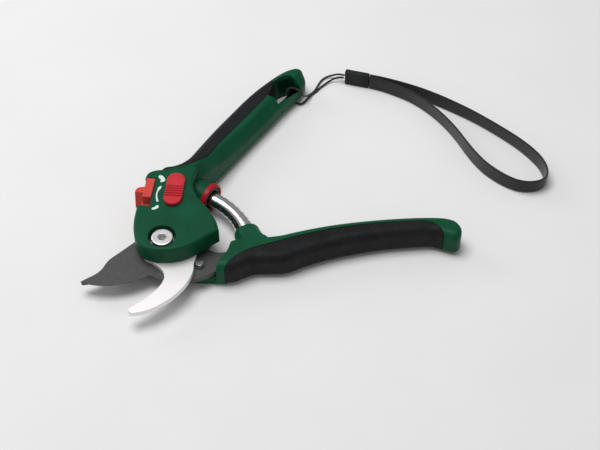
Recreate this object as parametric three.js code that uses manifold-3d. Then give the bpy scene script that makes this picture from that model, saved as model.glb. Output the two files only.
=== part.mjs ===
// Bypass pruning shears with a volute opening spring, a safety latch, an opening selector
// and a wrist strap, lying open on their side. Millimetres, +Z up.
// The pivot axis is the Z axis, Z = 0 is the plane the tool rests on, +X runs along the lower
// handle and +Y towards the upper handle. The head and the upper handle are the fixed body;
// the cutting blade and the lower handle swing together about the pivot.

import * as THREE from 'three';
import { mergeVertices } from 'three/addons/utils/BufferGeometryUtils.js';
import Module from 'manifold-3d';

const wasm = await Module();
wasm.setup();

// ---------------------------------------------------------------- driving dimensions
const GAP = 0.3; // clearance between neighbouring pieces
const CLOSE_ANGLE = 38; // degrees the lever turns from open to closed

// Stack of layers through the pivot, from the resting plane up.
const COVER_THICKNESS = 6.3;
const BLADE_THICKNESS = 3.2;
const HOOK_THICKNESS = 3;
const HEAD_HEIGHT = 11;
const BLADE_BOTTOM = COVER_THICKNESS + GAP;
const BLADE_TOP = BLADE_BOTTOM + BLADE_THICKNESS;
const HOOK_BOTTOM = BLADE_TOP + GAP;
const HOOK_TOP = HOOK_BOTTOM + HOOK_THICKNESS;
const HEAD_BOTTOM = HOOK_TOP + GAP;
const HEAD_TOP = HEAD_BOTTOM + HEAD_HEIGHT;
const HEAD_EDGE = 1.4; // rounding of the head's edges
const ROOF = 5.4; // head wall over the latch and selector pockets

// Pivot.
const BOLT_RADIUS = 4;
const BOLT_HEAD_RADIUS = 6;
const BOLT_HEAD_HEIGHT = 3;
const BOLT_RECESS_WALL = 1.5; // open ring around the bolt head
const BOLT_RECESS_DEPTH = 5.2;
const BOLT_SOCKET_RADIUS = 2.1;
const WASHER_RADIUS = 6.4;
const WASHER_THICKNESS = 0.7;
const BUSH_WALL = 1;
const NUT_RADIUS = 6.4;
const NUT_HEIGHT = 4.2;
const NUT_FLOOR = 1.2;

// Handles.
const UPPER_ANGLE = 56; // direction of the upper handle, degrees from +X
const UPPER_LENGTH = 163; // from the pivot's foot on the handle's line to the tail's end
const UPPER_THICKNESS = 17;
const LOWER_LENGTH = 164.4; // from the pivot to the lower handle's end, along +X
const LOWER_THICKNESS = 16.5;
const HANDLE_CORNER = 5; // corner radius of the handle sections
const GRIP_WALL = 2.2; // thickness of the soft grips
const TANG_CLEARANCE = 0.35;

// Spring and its seats, on a circle about the pivot.
const SPRING_CIRCLE = 47.6;
const COLLAR_ANGLE = 58; // polar angle of the collar's open face
const CLOSED_FACE_GAP = 0.52; // between the two seat faces when the shears are closed
const COLLAR_RADIUS = 9;
const COLLAR_THICKNESS = 3.2;
const COLLAR_FRONT = 0.6; // the collar's bore starts this far behind its face
const BOSS_RADIUS = 8.3;
const BOSS_LENGTH = 11;
const SOCKET_RADIUS = 5.6;
const SOCKET_DEPTH = 7;
const CUP_RADIUS = 7.2;
const CUP_ROOT_RADIUS = 8.8;
const CUP_LENGTH = 12;
const SPRING_HEIGHT = BLADE_BOTTOM + 2.9; // height of the spring's axis over the resting plane
const SPIGOT_WALL = 1.2; // thin tube of the boss that the collar sits on
const SPRING_END_GAP = 1.2; // between the spring's ends and the socket floors
const SPRING_SMALL_RADIUS = 3.7;
const SPRING_LARGE_RADIUS = 5;

// Latch and selector.
const LATCH_TRAVEL = 5;
const LATCH_PLACE = [-9.7, 35.6];
const LATCH_TILT = 6.6; // degrees, top leaning to +X
const LATCH_WIDTH = 5;
const LATCH_LENGTH = 14.4;
const LATCH_PROUD = 0.6; // over the head's top face
const SELECTOR_TRAVEL = 4;
const SELECTOR_PLACE = [4.8, 33.6];
const SELECTOR_TILT = 4.8;
const SELECTOR_WIDTH = 10.2;
const SELECTOR_LENGTH = 24;
const SELECTOR_PROUD = 2.4;
const SLIDE_NECK = 4.4; // width of the neck that passes through the head's slot
const CARRIER_THICKNESS = 2.4;

// Small hardware.
const STOP_PIN_RADIUS = 2.1;
const STOP_PIN_PLACE = [20.2, -9.4];
const STOP_PIN_PROUD = 3;
const SCREW_RADIUS = 1.5;
const SCREW_HEAD_RADIUS = 2.9;
const SCREW_HEAD_HEIGHT = 1.8;
const SCREW_LENGTH = 10.5;
const SCREW_SUNK = 0.2; // screw heads below the cover's face
const SCREW_DRIVE_RADIUS = 1.2;
const HOOK_PIN_RADIUS = 1.9;
const HOOK_PIN_LENGTH = 6.5;
const RIVET_RADIUS = 2.2;
const RIVET_BOTTOM = BLADE_BOTTOM - 2.3;
const RIVET_TOP = LOWER_THICKNESS - GRIP_WALL - 2 * GAP;

// Wrist strap.
const CORD_RADIUS = 0.6;
const WEBBING_WIDTH = 9.4;
const WEBBING_THICKNESS = 1.2;
const CONNECTOR_LENGTH = 15.4;
const CONNECTOR_WIDTH = 3.8;
const CONNECTOR_HEIGHT = 9.9;

// ---------------------------------------------------------------- helpers
const rad = THREE.MathUtils.degToRad;
const polar = (radius, degrees) => [radius * Math.cos(rad(degrees)), radius * Math.sin(rad(degrees))];

// A closed three.js geometry as a manifold solid.
function solid(geometry) {
  const bare = geometry.index ? geometry.toNonIndexed() : geometry.clone();
  bare.deleteAttribute('normal');
  bare.deleteAttribute('uv');
  const merged = mergeVertices(bare, 1e-4);
  return new wasm.Manifold(new wasm.Mesh({
    numProp: 3,
    vertProperties: new Float32Array(merged.attributes.position.array),
    triVerts: new Uint32Array(merged.index.array),
  }));
}

// A manifold solid as a three.js geometry.
function toGeometry(body) {
  const mesh = body.getMesh();
  const geometry = new THREE.BufferGeometry();
  geometry.setAttribute('position', new THREE.BufferAttribute(new Float32Array(mesh.vertProperties), 3));
  geometry.setIndex(new THREE.BufferAttribute(new Uint32Array(mesh.triVerts), 1));
  geometry.computeVertexNormals();
  return geometry;
}

function outline(points) {
  return new THREE.Shape(points.map(([x, y]) => new THREE.Vector2(x, y)));
}

// Corner points of a counter-clockwise outline moved out by grow.
function grown(points, grow) {
  const count = points.length;
  return points.map(([x, y], k) => {
    const [x0, y0] = points[(k + count - 1) % count];
    const [x1, y1] = points[(k + 1) % count];
    const length = Math.hypot(x1 - x0, y1 - y0);
    return [x + (grow * (y1 - y0)) / length, y - (grow * (x1 - x0)) / length];
  });
}

// A vertical prism of a plan shape between two heights, with its edges rounded by edge.
function prism(shape, bottom, top, edge = 0) {
  const geometry = new THREE.ExtrudeGeometry(shape, {
    depth: top - bottom - 2 * edge,
    bevelEnabled: edge > 0,
    bevelThickness: edge,
    bevelSize: edge,
    bevelOffset: -edge,
    bevelSegments: 3,
    curveSegments: 10,
  });
  geometry.translate(0, 0, bottom + edge);
  return solid(geometry);
}

// A box from its lowest and highest corners.
function block([x0, y0, z0], [x1, y1, z1]) {
  const geometry = new THREE.BoxGeometry(x1 - x0, y1 - y0, z1 - z0);
  geometry.translate((x0 + x1) / 2, (y0 + y1) / 2, (z0 + z1) / 2);
  return solid(geometry);
}

// A round solid about the vertical axis at (x, y), from bottom to top.
function post(x, y, radius, bottom, top, sides = 32) {
  const geometry = new THREE.CylinderGeometry(radius, radius, top - bottom, sides);
  geometry.rotateX(Math.PI / 2);
  geometry.translate(x, y, (bottom + top) / 2);
  return solid(geometry);
}

// A turned solid about the vertical axis from [radius, height] pairs that start and end on it.
function turned(profile, segments = 40) {
  const geometry = new THREE.LatheGeometry(profile.map(([r, z]) => new THREE.Vector2(r, z)), segments);
  geometry.rotateX(Math.PI / 2);
  return solid(geometry);
}

// A stadium: a rounded bar of the given overall length and width, long side along Y.
function stadium(width, length) {
  const shape = new THREE.Shape();
  const radius = width / 2;
  const reach = length / 2 - radius;
  shape.absarc(0, reach, radius, 0, Math.PI, false);
  shape.absarc(0, -reach, radius, Math.PI, 2 * Math.PI, false);
  return shape;
}

// A closed skin over equal-sized rings of [x, y, z] points, capped at both ends.
function loft(rings) {
  const count = rings[0].length;
  const positions = rings.flat(2);
  const index = [];
  for (let ring = 0; ring < rings.length - 1; ring += 1) {
    for (let k = 0; k < count; k += 1) {
      const a = ring * count + k;
      const b = ring * count + ((k + 1) % count);
      index.push(a, b, a + count, b, b + count, a + count);
    }
  }
  for (let k = 1; k < count - 1; k += 1) {
    const last = (rings.length - 1) * count;
    index.push(0, k + 1, k);
    index.push(last, last + k, last + k + 1);
  }
  const geometry = new THREE.BufferGeometry();
  geometry.setAttribute('position', new THREE.BufferAttribute(new Float32Array(positions), 3));
  geometry.setIndex(index);
  return solid(geometry);
}

// A rounded rectangle as [a, b] pairs, counter-clockwise, with its upper high-a corner cut to a slope.
function roundedSection(low, high, bottom, top, radius, slope = 0, slopeDrop = 0) {
  const r = Math.min(radius, (high - low) / 2.2, (top - bottom) / 2.2);
  const points = [];
  const steps = 5;
  const corner = (a, b, start, size) => {
    for (let k = 0; k <= steps; k += 1) {
      const angle = rad(start + (90 * k) / steps);
      points.push([a + size * Math.cos(angle), b + size * Math.sin(angle)]);
    }
  };
  corner(low + r, bottom + r, 180, r);
  corner(high - r, bottom + r, 270, r);
  if (slope > 0) {
    for (let k = 0; k <= steps; k += 1) {
      const t = k / steps;
      const round = Math.sin(t * Math.PI) * 0.8;
      points.push([high - slope * t + round * 0.7, top - slopeDrop * (1 - t) + round * 0.4]);
    }
  } else {
    corner(high - r, top - r, 0, r);
  }
  corner(low + r, top - r, 90, r);
  return points;
}

const root = new THREE.Group();
const lever = new THREE.Group();
const latch = new THREE.Group();
const selector = new THREE.Group();
const shears = new THREE.Group();
shears.add(root, lever, latch, selector);

const FINISHES = {
  green: { color: 0x0c5237, roughness: 0.45, metalness: 0 },
  rubber: { color: 0x1a1b1d, roughness: 0.8, metalness: 0 },
  red: { color: 0xc8323a, roughness: 0.4, metalness: 0 },
  coated: { color: 0x5a5a5a, roughness: 0.55, metalness: 0.3 },
  polished: { color: 0xe4e2e2, roughness: 0.25, metalness: 1 },
  plated: { color: 0xd8d8dc, roughness: 0.2, metalness: 1 },
  bronze: { color: 0xa9804a, roughness: 0.4, metalness: 1 },
  black: { color: 0x202122, roughness: 0.6, metalness: 0 },
  fabric: { color: 0x1c1c1c, roughness: 0.95, metalness: 0 },
};

function addPiece(group, name, body, finish) {
  const mesh = new THREE.Mesh(toGeometry(body), new THREE.MeshStandardMaterial(FINISHES[finish]));
  mesh.name = name;
  group.add(mesh);
}

// ---------------------------------------------------------------- handle shapes
// The upper handle runs along a straight line through the pivot's neighbourhood: s is the distance
// along it, u the offset across it, positive towards the lower handle.
const along = [Math.cos(rad(UPPER_ANGLE)), Math.sin(rad(UPPER_ANGLE))];
const across = [along[1], -along[0]];
const upperPoint = (s, u) => [s * along[0] + u * across[0], s * along[1] + u * across[1]];

// Lengths beyond the shoulder follow the handle's whole length.
const UPPER_SHOULDER = 64;
const DRAWN_UPPER = 163; // the length at which the tables below are drawn
const UPPER_STRETCH = (UPPER_LENGTH - UPPER_SHOULDER) / (DRAWN_UPPER - UPPER_SHOULDER);
const stretchUpper = (s) => s + Math.max(0, s - UPPER_SHOULDER) * (UPPER_STRETCH - 1);
const alongUpper = (points) => points.map(([s, u]) => upperPoint(stretchUpper(s), u));

// [s, outer side u, inner side u, share of the way up from the handle's top to the head's top]
const UPPER_STATIONS = [
  [40, -33, -15, 1],
  [43, -32.6, -14, 1],
  [46, -29.8, -13.4, 1],
  [50, -27.2, -12.4, 0.97],
  [54, -26, -12.2, 0.93],
  [58, -25.6, -12.2, 0.88],
  [64, -26.6, -12.2, 0.73],
  [72, -28.4, -12.2, 0.49],
  [80, -29.8, -12.3, 0.3],
  [90, -31, -12.4, 0.14],
  [108, -31.9, -12.4, 0],
  [120, -32, -12.4, 0],
  [132, -31.4, -12.6, 0],
  [141, -30.2, -12.3, 0],
  [148, -29, -12, 0],
  [154, -27.4, -12, 0],
  [159, -25.4, -13.2, -0.04],
  [163, -22.8, -15.4, -0.16],
];
const RIDGE_SLOPE = 5.2; // width of the slope between the top face and the inner side
const RIDGE_DROP = 6.5;

// Stations moved inward at both ends by inset, so that an inset handle is shorter too.
function insetStations(stations, inset) {
  const ends = [stations[0][0] + inset, stations[stations.length - 1][0] - inset];
  return stations.map(([place, ...sizes]) => [Math.min(Math.max(place, ends[0]), ends[1]), ...sizes]);
}

function upperHandle(inset) {
  const stations = UPPER_STATIONS.map(([s, ...sizes]) => [stretchUpper(s), ...sizes]);
  return loft(insetStations(stations, inset).map(([s, outer, inner, rise]) => {
    const top = UPPER_THICKNESS + (HEAD_TOP - UPPER_THICKNESS) * rise;
    const section = roundedSection(outer + inset, inner - inset, inset, top - inset,
      HANDLE_CORNER, RIDGE_SLOPE, RIDGE_DROP);
    return section.map(([u, z]) => [...upperPoint(s, u), z]);
  }).reverse());
}

// Lengths beyond the tang follow the lower handle's whole length.
const LOWER_SHOULDER = 76;
const DRAWN_LOWER = 164.4;
const LOWER_STRETCH = (LOWER_LENGTH - LOWER_SHOULDER) / (DRAWN_LOWER - LOWER_SHOULDER);
const stretchLower = (x) => x + Math.max(0, x - LOWER_SHOULDER) * (LOWER_STRETCH - 1);

// The lower handle: [x, outer side y, inner side y].
const LOWER_STATIONS = [
  [28, -15.4, -3],
  [36, -15.6, 5],
  [40, -14.6, 6.8],
  [44.5, -12.2, 7.4],
  [50, -9.9, 7.8],
  [58, -9.6, 8.8],
  [65, -9.3, 10],
  [70, -7.9, 11.5],
  [76, -4.9, 13.3],
  [84, -1.6, 15.4],
  [92, 1.2, 17.2],
  [100, 3.5, 18.7],
  [110, 5.9, 20.2],
  [120, 7.9, 21.4],
  [130, 9.2, 22.3],
  [140, 10.2, 22.9],
  [147, 10.5, 23],
  [152, 9.3, 22.9],
  [157, 7.3, 22.2],
  [161, 6.4, 20.4],
  [164.4, 8.8, 16],
];

function lowerHandle(inset) {
  const stations = LOWER_STATIONS.map(([x, ...sides]) => [stretchLower(x), ...sides]);
  return loft(insetStations(stations, inset).map(([x, outer, inner]) => {
    const section = roundedSection(outer + inset, inner - inset, inset, LOWER_THICKNESS - inset,
      HANDLE_CORNER);
    return section.map(([y, z]) => [x, y, z]);
  }));
}

// Plan region that each soft grip covers, grown by the given clearance.
function upperGripRegion(grow) {
  const edge = [[37, -42], [37.2, -35.5], [39.6, -31.3], [42.2, -28.5], [47.6, -23.8], [52, -20.6],
    [56, -18.6], [61, -17.2], [68, -17.6], [78, -19.4], [90, -20.6], [110, -21.2], [124, -21.5],
    [134, -22.2], [142, -25.5], [146, -31]];
  const inside = edge.map(([s, u]) => [s, u + grow]);
  return outline(alongUpper([...inside, [148, -45], [37, -45]]));
}

function lowerGripRegion(grow) {
  const edge = [[32.6, -20], [34.5, -14.5], [38, -9.6], [45, -3.7], [52, -0.4], [60, 2.4], [70, 5.9],
    [80, 9.1], [90, 11.7], [100, 13.9], [110, 15.6], [120, 16.9], [130, 17.7], [140, 18.2], [147, 17.7],
    [151.5, 14.5], [154, 10], [154.8, 3]];
  const inside = edge.map(([x, y], k) => {
    const [a, b] = [edge[Math.max(k - 1, 0)], edge[Math.min(k + 1, edge.length - 1)]];
    const length = Math.hypot(b[0] - a[0], b[1] - a[1]);
    return [stretchLower(x) - (grow * (b[1] - a[1])) / length, y + (grow * (b[0] - a[0])) / length];
  });
  const end = stretchLower(edge[edge.length - 1][0]);
  return outline([...inside, [end + grow, -40], [edge[0][0] - grow, -40]].reverse());
}

// A grip is the skin of a handle inside its region; the core keeps a gap under and beside it.
const LOW = -5; // cutting shapes start below the part and end above it
const HIGH = 60;
const gripSkin = (handle, region) => handle(0)
  .intersect(prism(region(0), LOW, HIGH))
  .subtract(handle(GRIP_WALL));
const gripCore = (handle, region) => handle(0)
  .subtract(prism(region(GAP), LOW, HIGH))
  .add(handle(GRIP_WALL + GAP));

// ---------------------------------------------------------------- plate outlines
// The cutting blade and its tang: a plate that turns about the pivot.
const RIM_RADIUS = 14.2; // round shoulder of the plate around the pivot
const CATCH_RADIUS = 18; // tooth that the latch holds when the shears are closed
const CATCH_ANGLES = [108, 116];
const TANG_END = 74;
const TANG_INNER = [[TANG_END, 8.6], [64, 6.4], [52, 3.6], [40, 2], [34, 1], [29.5, 0.6],
  [25, 2.2], [19, 6.2]];
const TANG_OUTER = [[32, -10.7], [38, -6.6], [46, -4.2], [60, -2.4], [TANG_END, 2.6]];
const SPINE = [[-13.4, 9.9], [-15.6, 9.2], [-17.4, 7.6], [-20.4, 4.6], [-25, 0], [-29.4, -4.4],
  [-31.2, -7.4],
  [-33.2, -11.6], [-36, -14.8], [-40, -17.6], [-44, -20.4]];
const EDGE = [[-40, -21.9], [-35.4, -22.9], [-30, -23.2], [-25, -22.7], [-20, -21.7],
  [-15, -20.1], [-10, -17.8],
  [-6.2, -15.6], [-4.6, -16.4], [-2, -18], [1.3, -19.2], [8, -19.8], [16, -19], [22, -17.1], [28, -13.8]];

function rimPoints(from, to, radius, steps) {
  return Array.from({ length: steps + 1 }, (_, k) => polar(radius, from + ((to - from) * k) / steps));
}

function bladeOutline() {
  return outline([
    ...TANG_INNER,
    ...rimPoints(32, CATCH_ANGLES[0] - 2, RIM_RADIUS, 8),
    ...rimPoints(CATCH_ANGLES[0], CATCH_ANGLES[1], CATCH_RADIUS, 2),
    ...rimPoints(CATCH_ANGLES[1] + 2, 138, RIM_RADIUS, 3),
    ...SPINE,
    ...EDGE,
    ...TANG_OUTER,
  ]);
}

// The hooked counter-blade, fixed in the head.
const HOOK_ROOT_TOP = 24.5;
const HOOK_PINS = [[-4.6, 17.4], [7.4, 17.4]];
const HOOK_INNER = [[-11.6, -2], [-9.6, -6], [-6, -8.6], [-3, -11], [-0.2, -14], [1.3, -17],
  [1.7, -20], [0.6, -24],
  [-2, -28.2], [-6, -32.6], [-10, -36.4], [-13, -38.9], [-15.2, -40.4], [-15.9, -42]];
const HOOK_OUTER = [[-15.2, -43.6], [-13.4, -44.4], [-8, -43.3], [-3, -41.1], [0, -39.3],
  [5, -35.4], [10, -30.1],
  [14, -24.1], [16.5, -18], [17.3, -14], [17.2, -10], [18.2, -4], [17.4, 2], [13.6, 14],
  [11.4, HOOK_ROOT_TOP]];
const HOOK_ROOT = [[-8.4, HOOK_ROOT_TOP], [-9, 14], [-12.2, 6]];
const hookOutline = () => outline([...HOOK_INNER, ...HOOK_OUTER, ...HOOK_ROOT]);

// The head seen from above.
const HEAD_OUTLINE = [[0, -10.2], [5, -10], [10, -8.8], [15, -6.5], [20, -3.2], [25, 0.8],
  [30.6, 5], [29.4, 10],
  [27.4, 15], [25, 19], [22, 23.6], [19, 28], [16.8, 32], [15.2, 36], [14.6, 40], [15.4, 44],
  [17.6, 48.4],
  [19, 54], [13, 54.8], [7, 52.7], [0, 51], [-7, 50.2], [-11, 48], [-13, 41], [-14.6, 30], [-15.8, 19],
  [-16.3, 12], [-15.9, 5], [-14.6, -1], [-12.4, -5], [-9, -8.2], [-5, -9.8]];
const HEAD_CORNER = 9; // first point of the outline behind the lever's sweep
const headShape = () => outline(HEAD_OUTLINE);

// ---------------------------------------------------------------- spring seats
const CUP_ANGLE = COLLAR_ANGLE - CLOSE_ANGLE - THREE.MathUtils.radToDeg(CLOSED_FACE_GAP / SPRING_CIRCLE);

// A solid turned about the spring's axis at a polar angle: profile heights run back from the seat
// face, away from the spring; back is +1 where that is counter-clockwise.
function onSpringCircle(degrees, back, profile, segments = 32) {
  const geometry = new THREE.LatheGeometry(profile.map(([r, h]) => new THREE.Vector2(r, h)), segments);
  if (back < 0) geometry.rotateX(Math.PI);
  const [x, y] = polar(SPRING_CIRCLE, degrees);
  geometry.rotateZ(rad(degrees));
  geometry.translate(x, y, SPRING_HEIGHT);
  return solid(geometry);
}
const disc = (radius, from, to) => [[0, from], [radius, from], [radius, to], [0, to]];

// Frame of a slide that sits on the head: local +Y is its long axis.
function slideFrame(body, [x, y], tilt) {
  return body.rotate([0, 0, -tilt]).translate([x, y, 0]);
}

// ---------------------------------------------------------------- head and upper handle
const POCKET_TOP = HEAD_TOP - ROOF;
const SCREW_PLACES = [[12.4, 31], [8, 45.4], [-7.4, 47.2]];
const SCREW_BOSS_RADIUS = 3.2;
const COVER_EDGE = 1;
const WALL_THICKNESS = 1.3;

// The cover's own outline: it stays clear of the lever's tongue, which sweeps past its right side.
const COVER_FRONT = [[0, -10.2], [5, -10], [10, -8.8], [14, -6.5], [17, -2], [19.6, 2.5],
  [23, 8.4], [25.8, 14.6]];
const COVER_REAR = 53; // the cover ends here, ahead of the handle
const COVER_OUTLINE = [...COVER_FRONT, ...HEAD_OUTLINE.slice(HEAD_CORNER).filter(([,
  y]) => y < COVER_REAR)];
const coverOutline = (grow) => outline(grown(COVER_OUTLINE, grow));

// A lane under the head's roof and a slot through the roof, for a button that slides.
function slidePocket({ place, tilt, travel }, lane, length, slot) {
  const hollow = block([-lane / 2, -length / 2 - travel, BLADE_BOTTOM], [lane / 2, length / 2, POCKET_TOP]);
  const opening = block([-slot / 2, SLOT_END - length / 2 - travel, POCKET_TOP - 1],
    [slot / 2, length / 2 - SLOT_END, HIGH]);
  return slideFrame(hollow.add(opening), place, tilt);
}
const SLOT_END = 2; // the slot stops this far from the lane's ends
const LATCH = { place: LATCH_PLACE, tilt: LATCH_TILT, travel: LATCH_TRAVEL + 1 };
const SELECTOR = { place: SELECTOR_PLACE, tilt: SELECTOR_TILT, travel: SELECTOR_TRAVEL + 1 };
const LATCH_LANE = 7.6;
const LATCH_OPENING = LATCH_WIDTH + 2 * GAP;
const SELECTOR_LANE = 8.4;

// The window in the head's edge that the latch shows through.
const WINDOW_DEPTH = 3; // below the head plate
const latchWindow = () => slideFrame(
  block([-20, -LATCH_LENGTH / 2 - LATCH_TRAVEL - 4 * GAP, HEAD_BOTTOM - WINDOW_DEPTH],
    [LATCH_OPENING / 2, LATCH_LENGTH / 2 + 3 * GAP, HIGH]), LATCH_PLACE, LATCH_TILT);

// The strap eye in the handle's tail, a slot with a low bar on its inner side, in [s, u].
const TAIL_EYE = [[131, -23], [134.5, -25.4], [145, -25], [151, -22.6], [153, -19.8],
  [151.6, -17.2], [132, -17.2]];
const TAIL_BAR = { from: 131.6, to: 152.4, outer: -18.4, inner: -5, bottom: 3, top: 9.5 };
const CORD_PASS = 149.5; // where along the handle the cord goes round the bar
const CORD_PASS_WIDTH = 5.4;
function tailBlock(from, to, bottom, top) {
  const { outer, inner } = TAIL_BAR;
  return prism(outline(alongUpper([[from, outer], [to, outer], [to, inner],
  [from, inner]])), bottom, top);
}

const WALL_FRONT = 14;
const HEEL_FRONT = HOOK_ROOT_TOP + 3;
const HEEL_SIDE = -3.4;

function headBody() {
  // The wall closes the head's left side, the heel fills it behind the counter-blade.
  const wall = prism(headShape(), BLADE_BOTTOM, HEAD_BOTTOM + 1)
    .subtract(prism(coverOutline(-WALL_THICKNESS), LOW, HIGH))
    .intersect(block([-60, WALL_FRONT, LOW], [-2, 60, HIGH]));
  const heel = prism(headShape(), BLADE_BOTTOM, HEAD_BOTTOM + 1)
    .intersect(block([HEEL_SIDE, HEEL_FRONT, LOW], [60, 100, HIGH]));
  let body = prism(headShape(), HEAD_BOTTOM, HEAD_TOP, HEAD_EDGE).add(wall).add(heel);
  for (const [x, y] of SCREW_PLACES) {
    body = body.add(post(x, y, SCREW_BOSS_RADIUS, BLADE_BOTTOM, HEAD_BOTTOM + 1, 20));
  }
  return body;
}

function upperBody() {
  const seat = (radius, from, to) => onSpringCircle(COLLAR_ANGLE, 1, disc(radius, from, to));
  const selectorPocket = slidePocket(SELECTOR, SELECTOR_LANE, SELECTOR_LENGTH - 6, SLIDE_NECK + 2 * GAP)
    .intersect(block([-60, 0, HEAD_BOTTOM], [60, 100, HIGH]));
  let body = headBody()
    .add(gripCore(upperHandle, upperGripRegion))
    .add(seat(BOSS_RADIUS, COLLAR_THICKNESS + GAP, BOSS_LENGTH))
    .add(seat(SOCKET_RADIUS + SPIGOT_WALL, COLLAR_FRONT, COLLAR_THICKNESS + 2))
    .subtract(prism(coverOutline(GAP), LOW, BLADE_BOTTOM))
    .subtract(seat(SOCKET_RADIUS, -5, SOCKET_DEPTH))
    .subtract(prism(outline(alongUpper(TAIL_EYE)), LOW, HIGH))
    .subtract(tailBlock(TAIL_BAR.from, TAIL_BAR.to, TAIL_BAR.top, HIGH))
    .subtract(tailBlock(CORD_PASS - CORD_PASS_WIDTH / 2, CORD_PASS + CORD_PASS_WIDTH / 2, LOW,
      TAIL_BAR.bottom))
    .subtract(post(0, 0, BOLT_RADIUS + GAP, LOW, HIGH))
    .subtract(post(0, 0, BOLT_HEAD_RADIUS + BOLT_RECESS_WALL, HEAD_TOP - BOLT_RECESS_DEPTH, HIGH, 48))
    .subtract(latchWindow())
    .subtract(slidePocket(LATCH, LATCH_LANE, LATCH_LENGTH + 3, LATCH_OPENING))
    .subtract(selectorPocket);
  for (const [x, y] of SCREW_PLACES) {
    body = body.subtract(post(x, y, SCREW_RADIUS + GAP, LOW, SCREW_HEAD_HEIGHT + SCREW_LENGTH + 1, 16));
  }
  for (const [x, y] of HOOK_PINS) {
    body = body.subtract(post(x, y, HOOK_PIN_RADIUS + GAP, LOW, HOOK_BOTTOM + HOOK_PIN_LENGTH, 20));
  }
  return body;
}

function bottomCover() {
  let body = prism(coverOutline(0), 0, COVER_THICKNESS, COVER_EDGE)
    .subtract(post(0, 0, BOLT_RADIUS + GAP, LOW, HIGH))
    .subtract(post(0, 0, NUT_RADIUS + GAP, LOW, NUT_HEIGHT + GAP, 6))
    .subtract(onSpringCircle(COLLAR_ANGLE, 1, disc(COLLAR_RADIUS + GAP, -6, BOSS_LENGTH + GAP)));
  for (const [x, y] of SCREW_PLACES) {
    body = body.subtract(post(x, y, SCREW_RADIUS + GAP, LOW, HIGH, 16));
    body = body.subtract(post(x, y, SCREW_HEAD_RADIUS + GAP, LOW,
      SCREW_SUNK + SCREW_HEAD_HEIGHT + GAP, 20));
  }
  return body;
}

// ---------------------------------------------------------------- pieces of the fixed body
addPiece(root, 'upper_body', upperBody(), 'green');
addPiece(root, 'bottom_cover', bottomCover(), 'green');
addPiece(root, 'upper_grip', gripSkin(upperHandle, upperGripRegion)
  .subtract(prism(outline(grown(HEAD_OUTLINE, GAP)), BLADE_BOTTOM - GAP, HIGH))
  .subtract(prism(coverOutline(GAP), LOW, BLADE_BOTTOM))
  .subtract(latchWindow()), 'rubber');

const BLADE_EYE = BOLT_RADIUS + 2 * GAP + BUSH_WALL; // hole of both blades around the bush

function counterBlade() {
  let body = prism(hookOutline(), HOOK_BOTTOM, HOOK_TOP).subtract(post(0, 0, BLADE_EYE, LOW, HIGH));
  for (const [x, y] of HOOK_PINS) {
    body = body.subtract(post(x, y, HOOK_PIN_RADIUS + GAP, LOW, HIGH, 20));
  }
  return body;
}
addPiece(root, 'counter_blade', counterBlade(), 'polished');
HOOK_PINS.forEach(([x, y], k) => {
  const pin = post(x, y, HOOK_PIN_RADIUS, HOOK_BOTTOM, HOOK_BOTTOM + HOOK_PIN_LENGTH - GAP, 20);
  addPiece(root, `counter_blade_pin_${k + 1}`, pin, 'plated');
});

function pivotBolt() {
  const head = BOLT_SEAT + BOLT_HEAD_HEIGHT;
  const profile = [
    [0, NUT_FLOOR + GAP],
    [BOLT_RADIUS, NUT_FLOOR + GAP],
    [BOLT_RADIUS, BOLT_SEAT],
    [BOLT_HEAD_RADIUS, BOLT_SEAT],
    [BOLT_HEAD_RADIUS, head - 0.8],
    [BOLT_HEAD_RADIUS - 0.7, head - 0.1],
    [BOLT_HEAD_RADIUS - 1.6, head],
    [0, head],
  ];
  return turned(profile).subtract(post(0, 0, BOLT_SOCKET_RADIUS, BOLT_SEAT + 0.8, HIGH, 6));
}
const BOLT_SEAT = HEAD_TOP - BOLT_RECESS_DEPTH + WASHER_THICKNESS + 2 * GAP;
const boltHole = () => post(0, 0, BOLT_RADIUS + GAP, LOW, HIGH);
addPiece(root, 'pivot_bolt', pivotBolt(), 'plated');
addPiece(root, 'pivot_washer', post(0, 0, WASHER_RADIUS, BOLT_SEAT - GAP - WASHER_THICKNESS,
  BOLT_SEAT - GAP)
  .subtract(boltHole()), 'plated');
addPiece(root, 'pivot_bush', post(0, 0, BOLT_RADIUS + GAP + BUSH_WALL, BLADE_BOTTOM, HOOK_TOP)
  .subtract(boltHole()), 'bronze');
addPiece(root, 'pivot_nut', post(0, 0, NUT_RADIUS, 0, NUT_HEIGHT, 6)
  .subtract(post(0, 0, BOLT_RADIUS + GAP, NUT_FLOOR, HIGH)), 'plated');

SCREW_PLACES.forEach(([x, y], k) => {
  const screw = post(x, y, SCREW_HEAD_RADIUS, SCREW_SUNK, SCREW_SUNK + SCREW_HEAD_HEIGHT, 20)
    .add(post(x, y, SCREW_RADIUS, SCREW_SUNK, SCREW_HEAD_HEIGHT + SCREW_LENGTH, 16))
    .subtract(post(x, y, SCREW_DRIVE_RADIUS, LOW, SCREW_SUNK + 1, 6));
  addPiece(root, `cover_screw_${k + 1}`, screw, 'plated');
});

const COLLAR_BORE = SOCKET_RADIUS + SPIGOT_WALL + GAP;
addPiece(root, 'spring_collar', onSpringCircle(COLLAR_ANGLE, 1, [
  [COLLAR_BORE, COLLAR_FRONT],
  [COLLAR_RADIUS - 1.4, 0],
  [COLLAR_RADIUS - 0.4, 0.5],
  [COLLAR_RADIUS, 1.4],
  [COLLAR_RADIUS, COLLAR_THICKNESS],
  [COLLAR_BORE, COLLAR_THICKNESS],
  [COLLAR_BORE, COLLAR_FRONT],
], 40), 'red');

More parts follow.
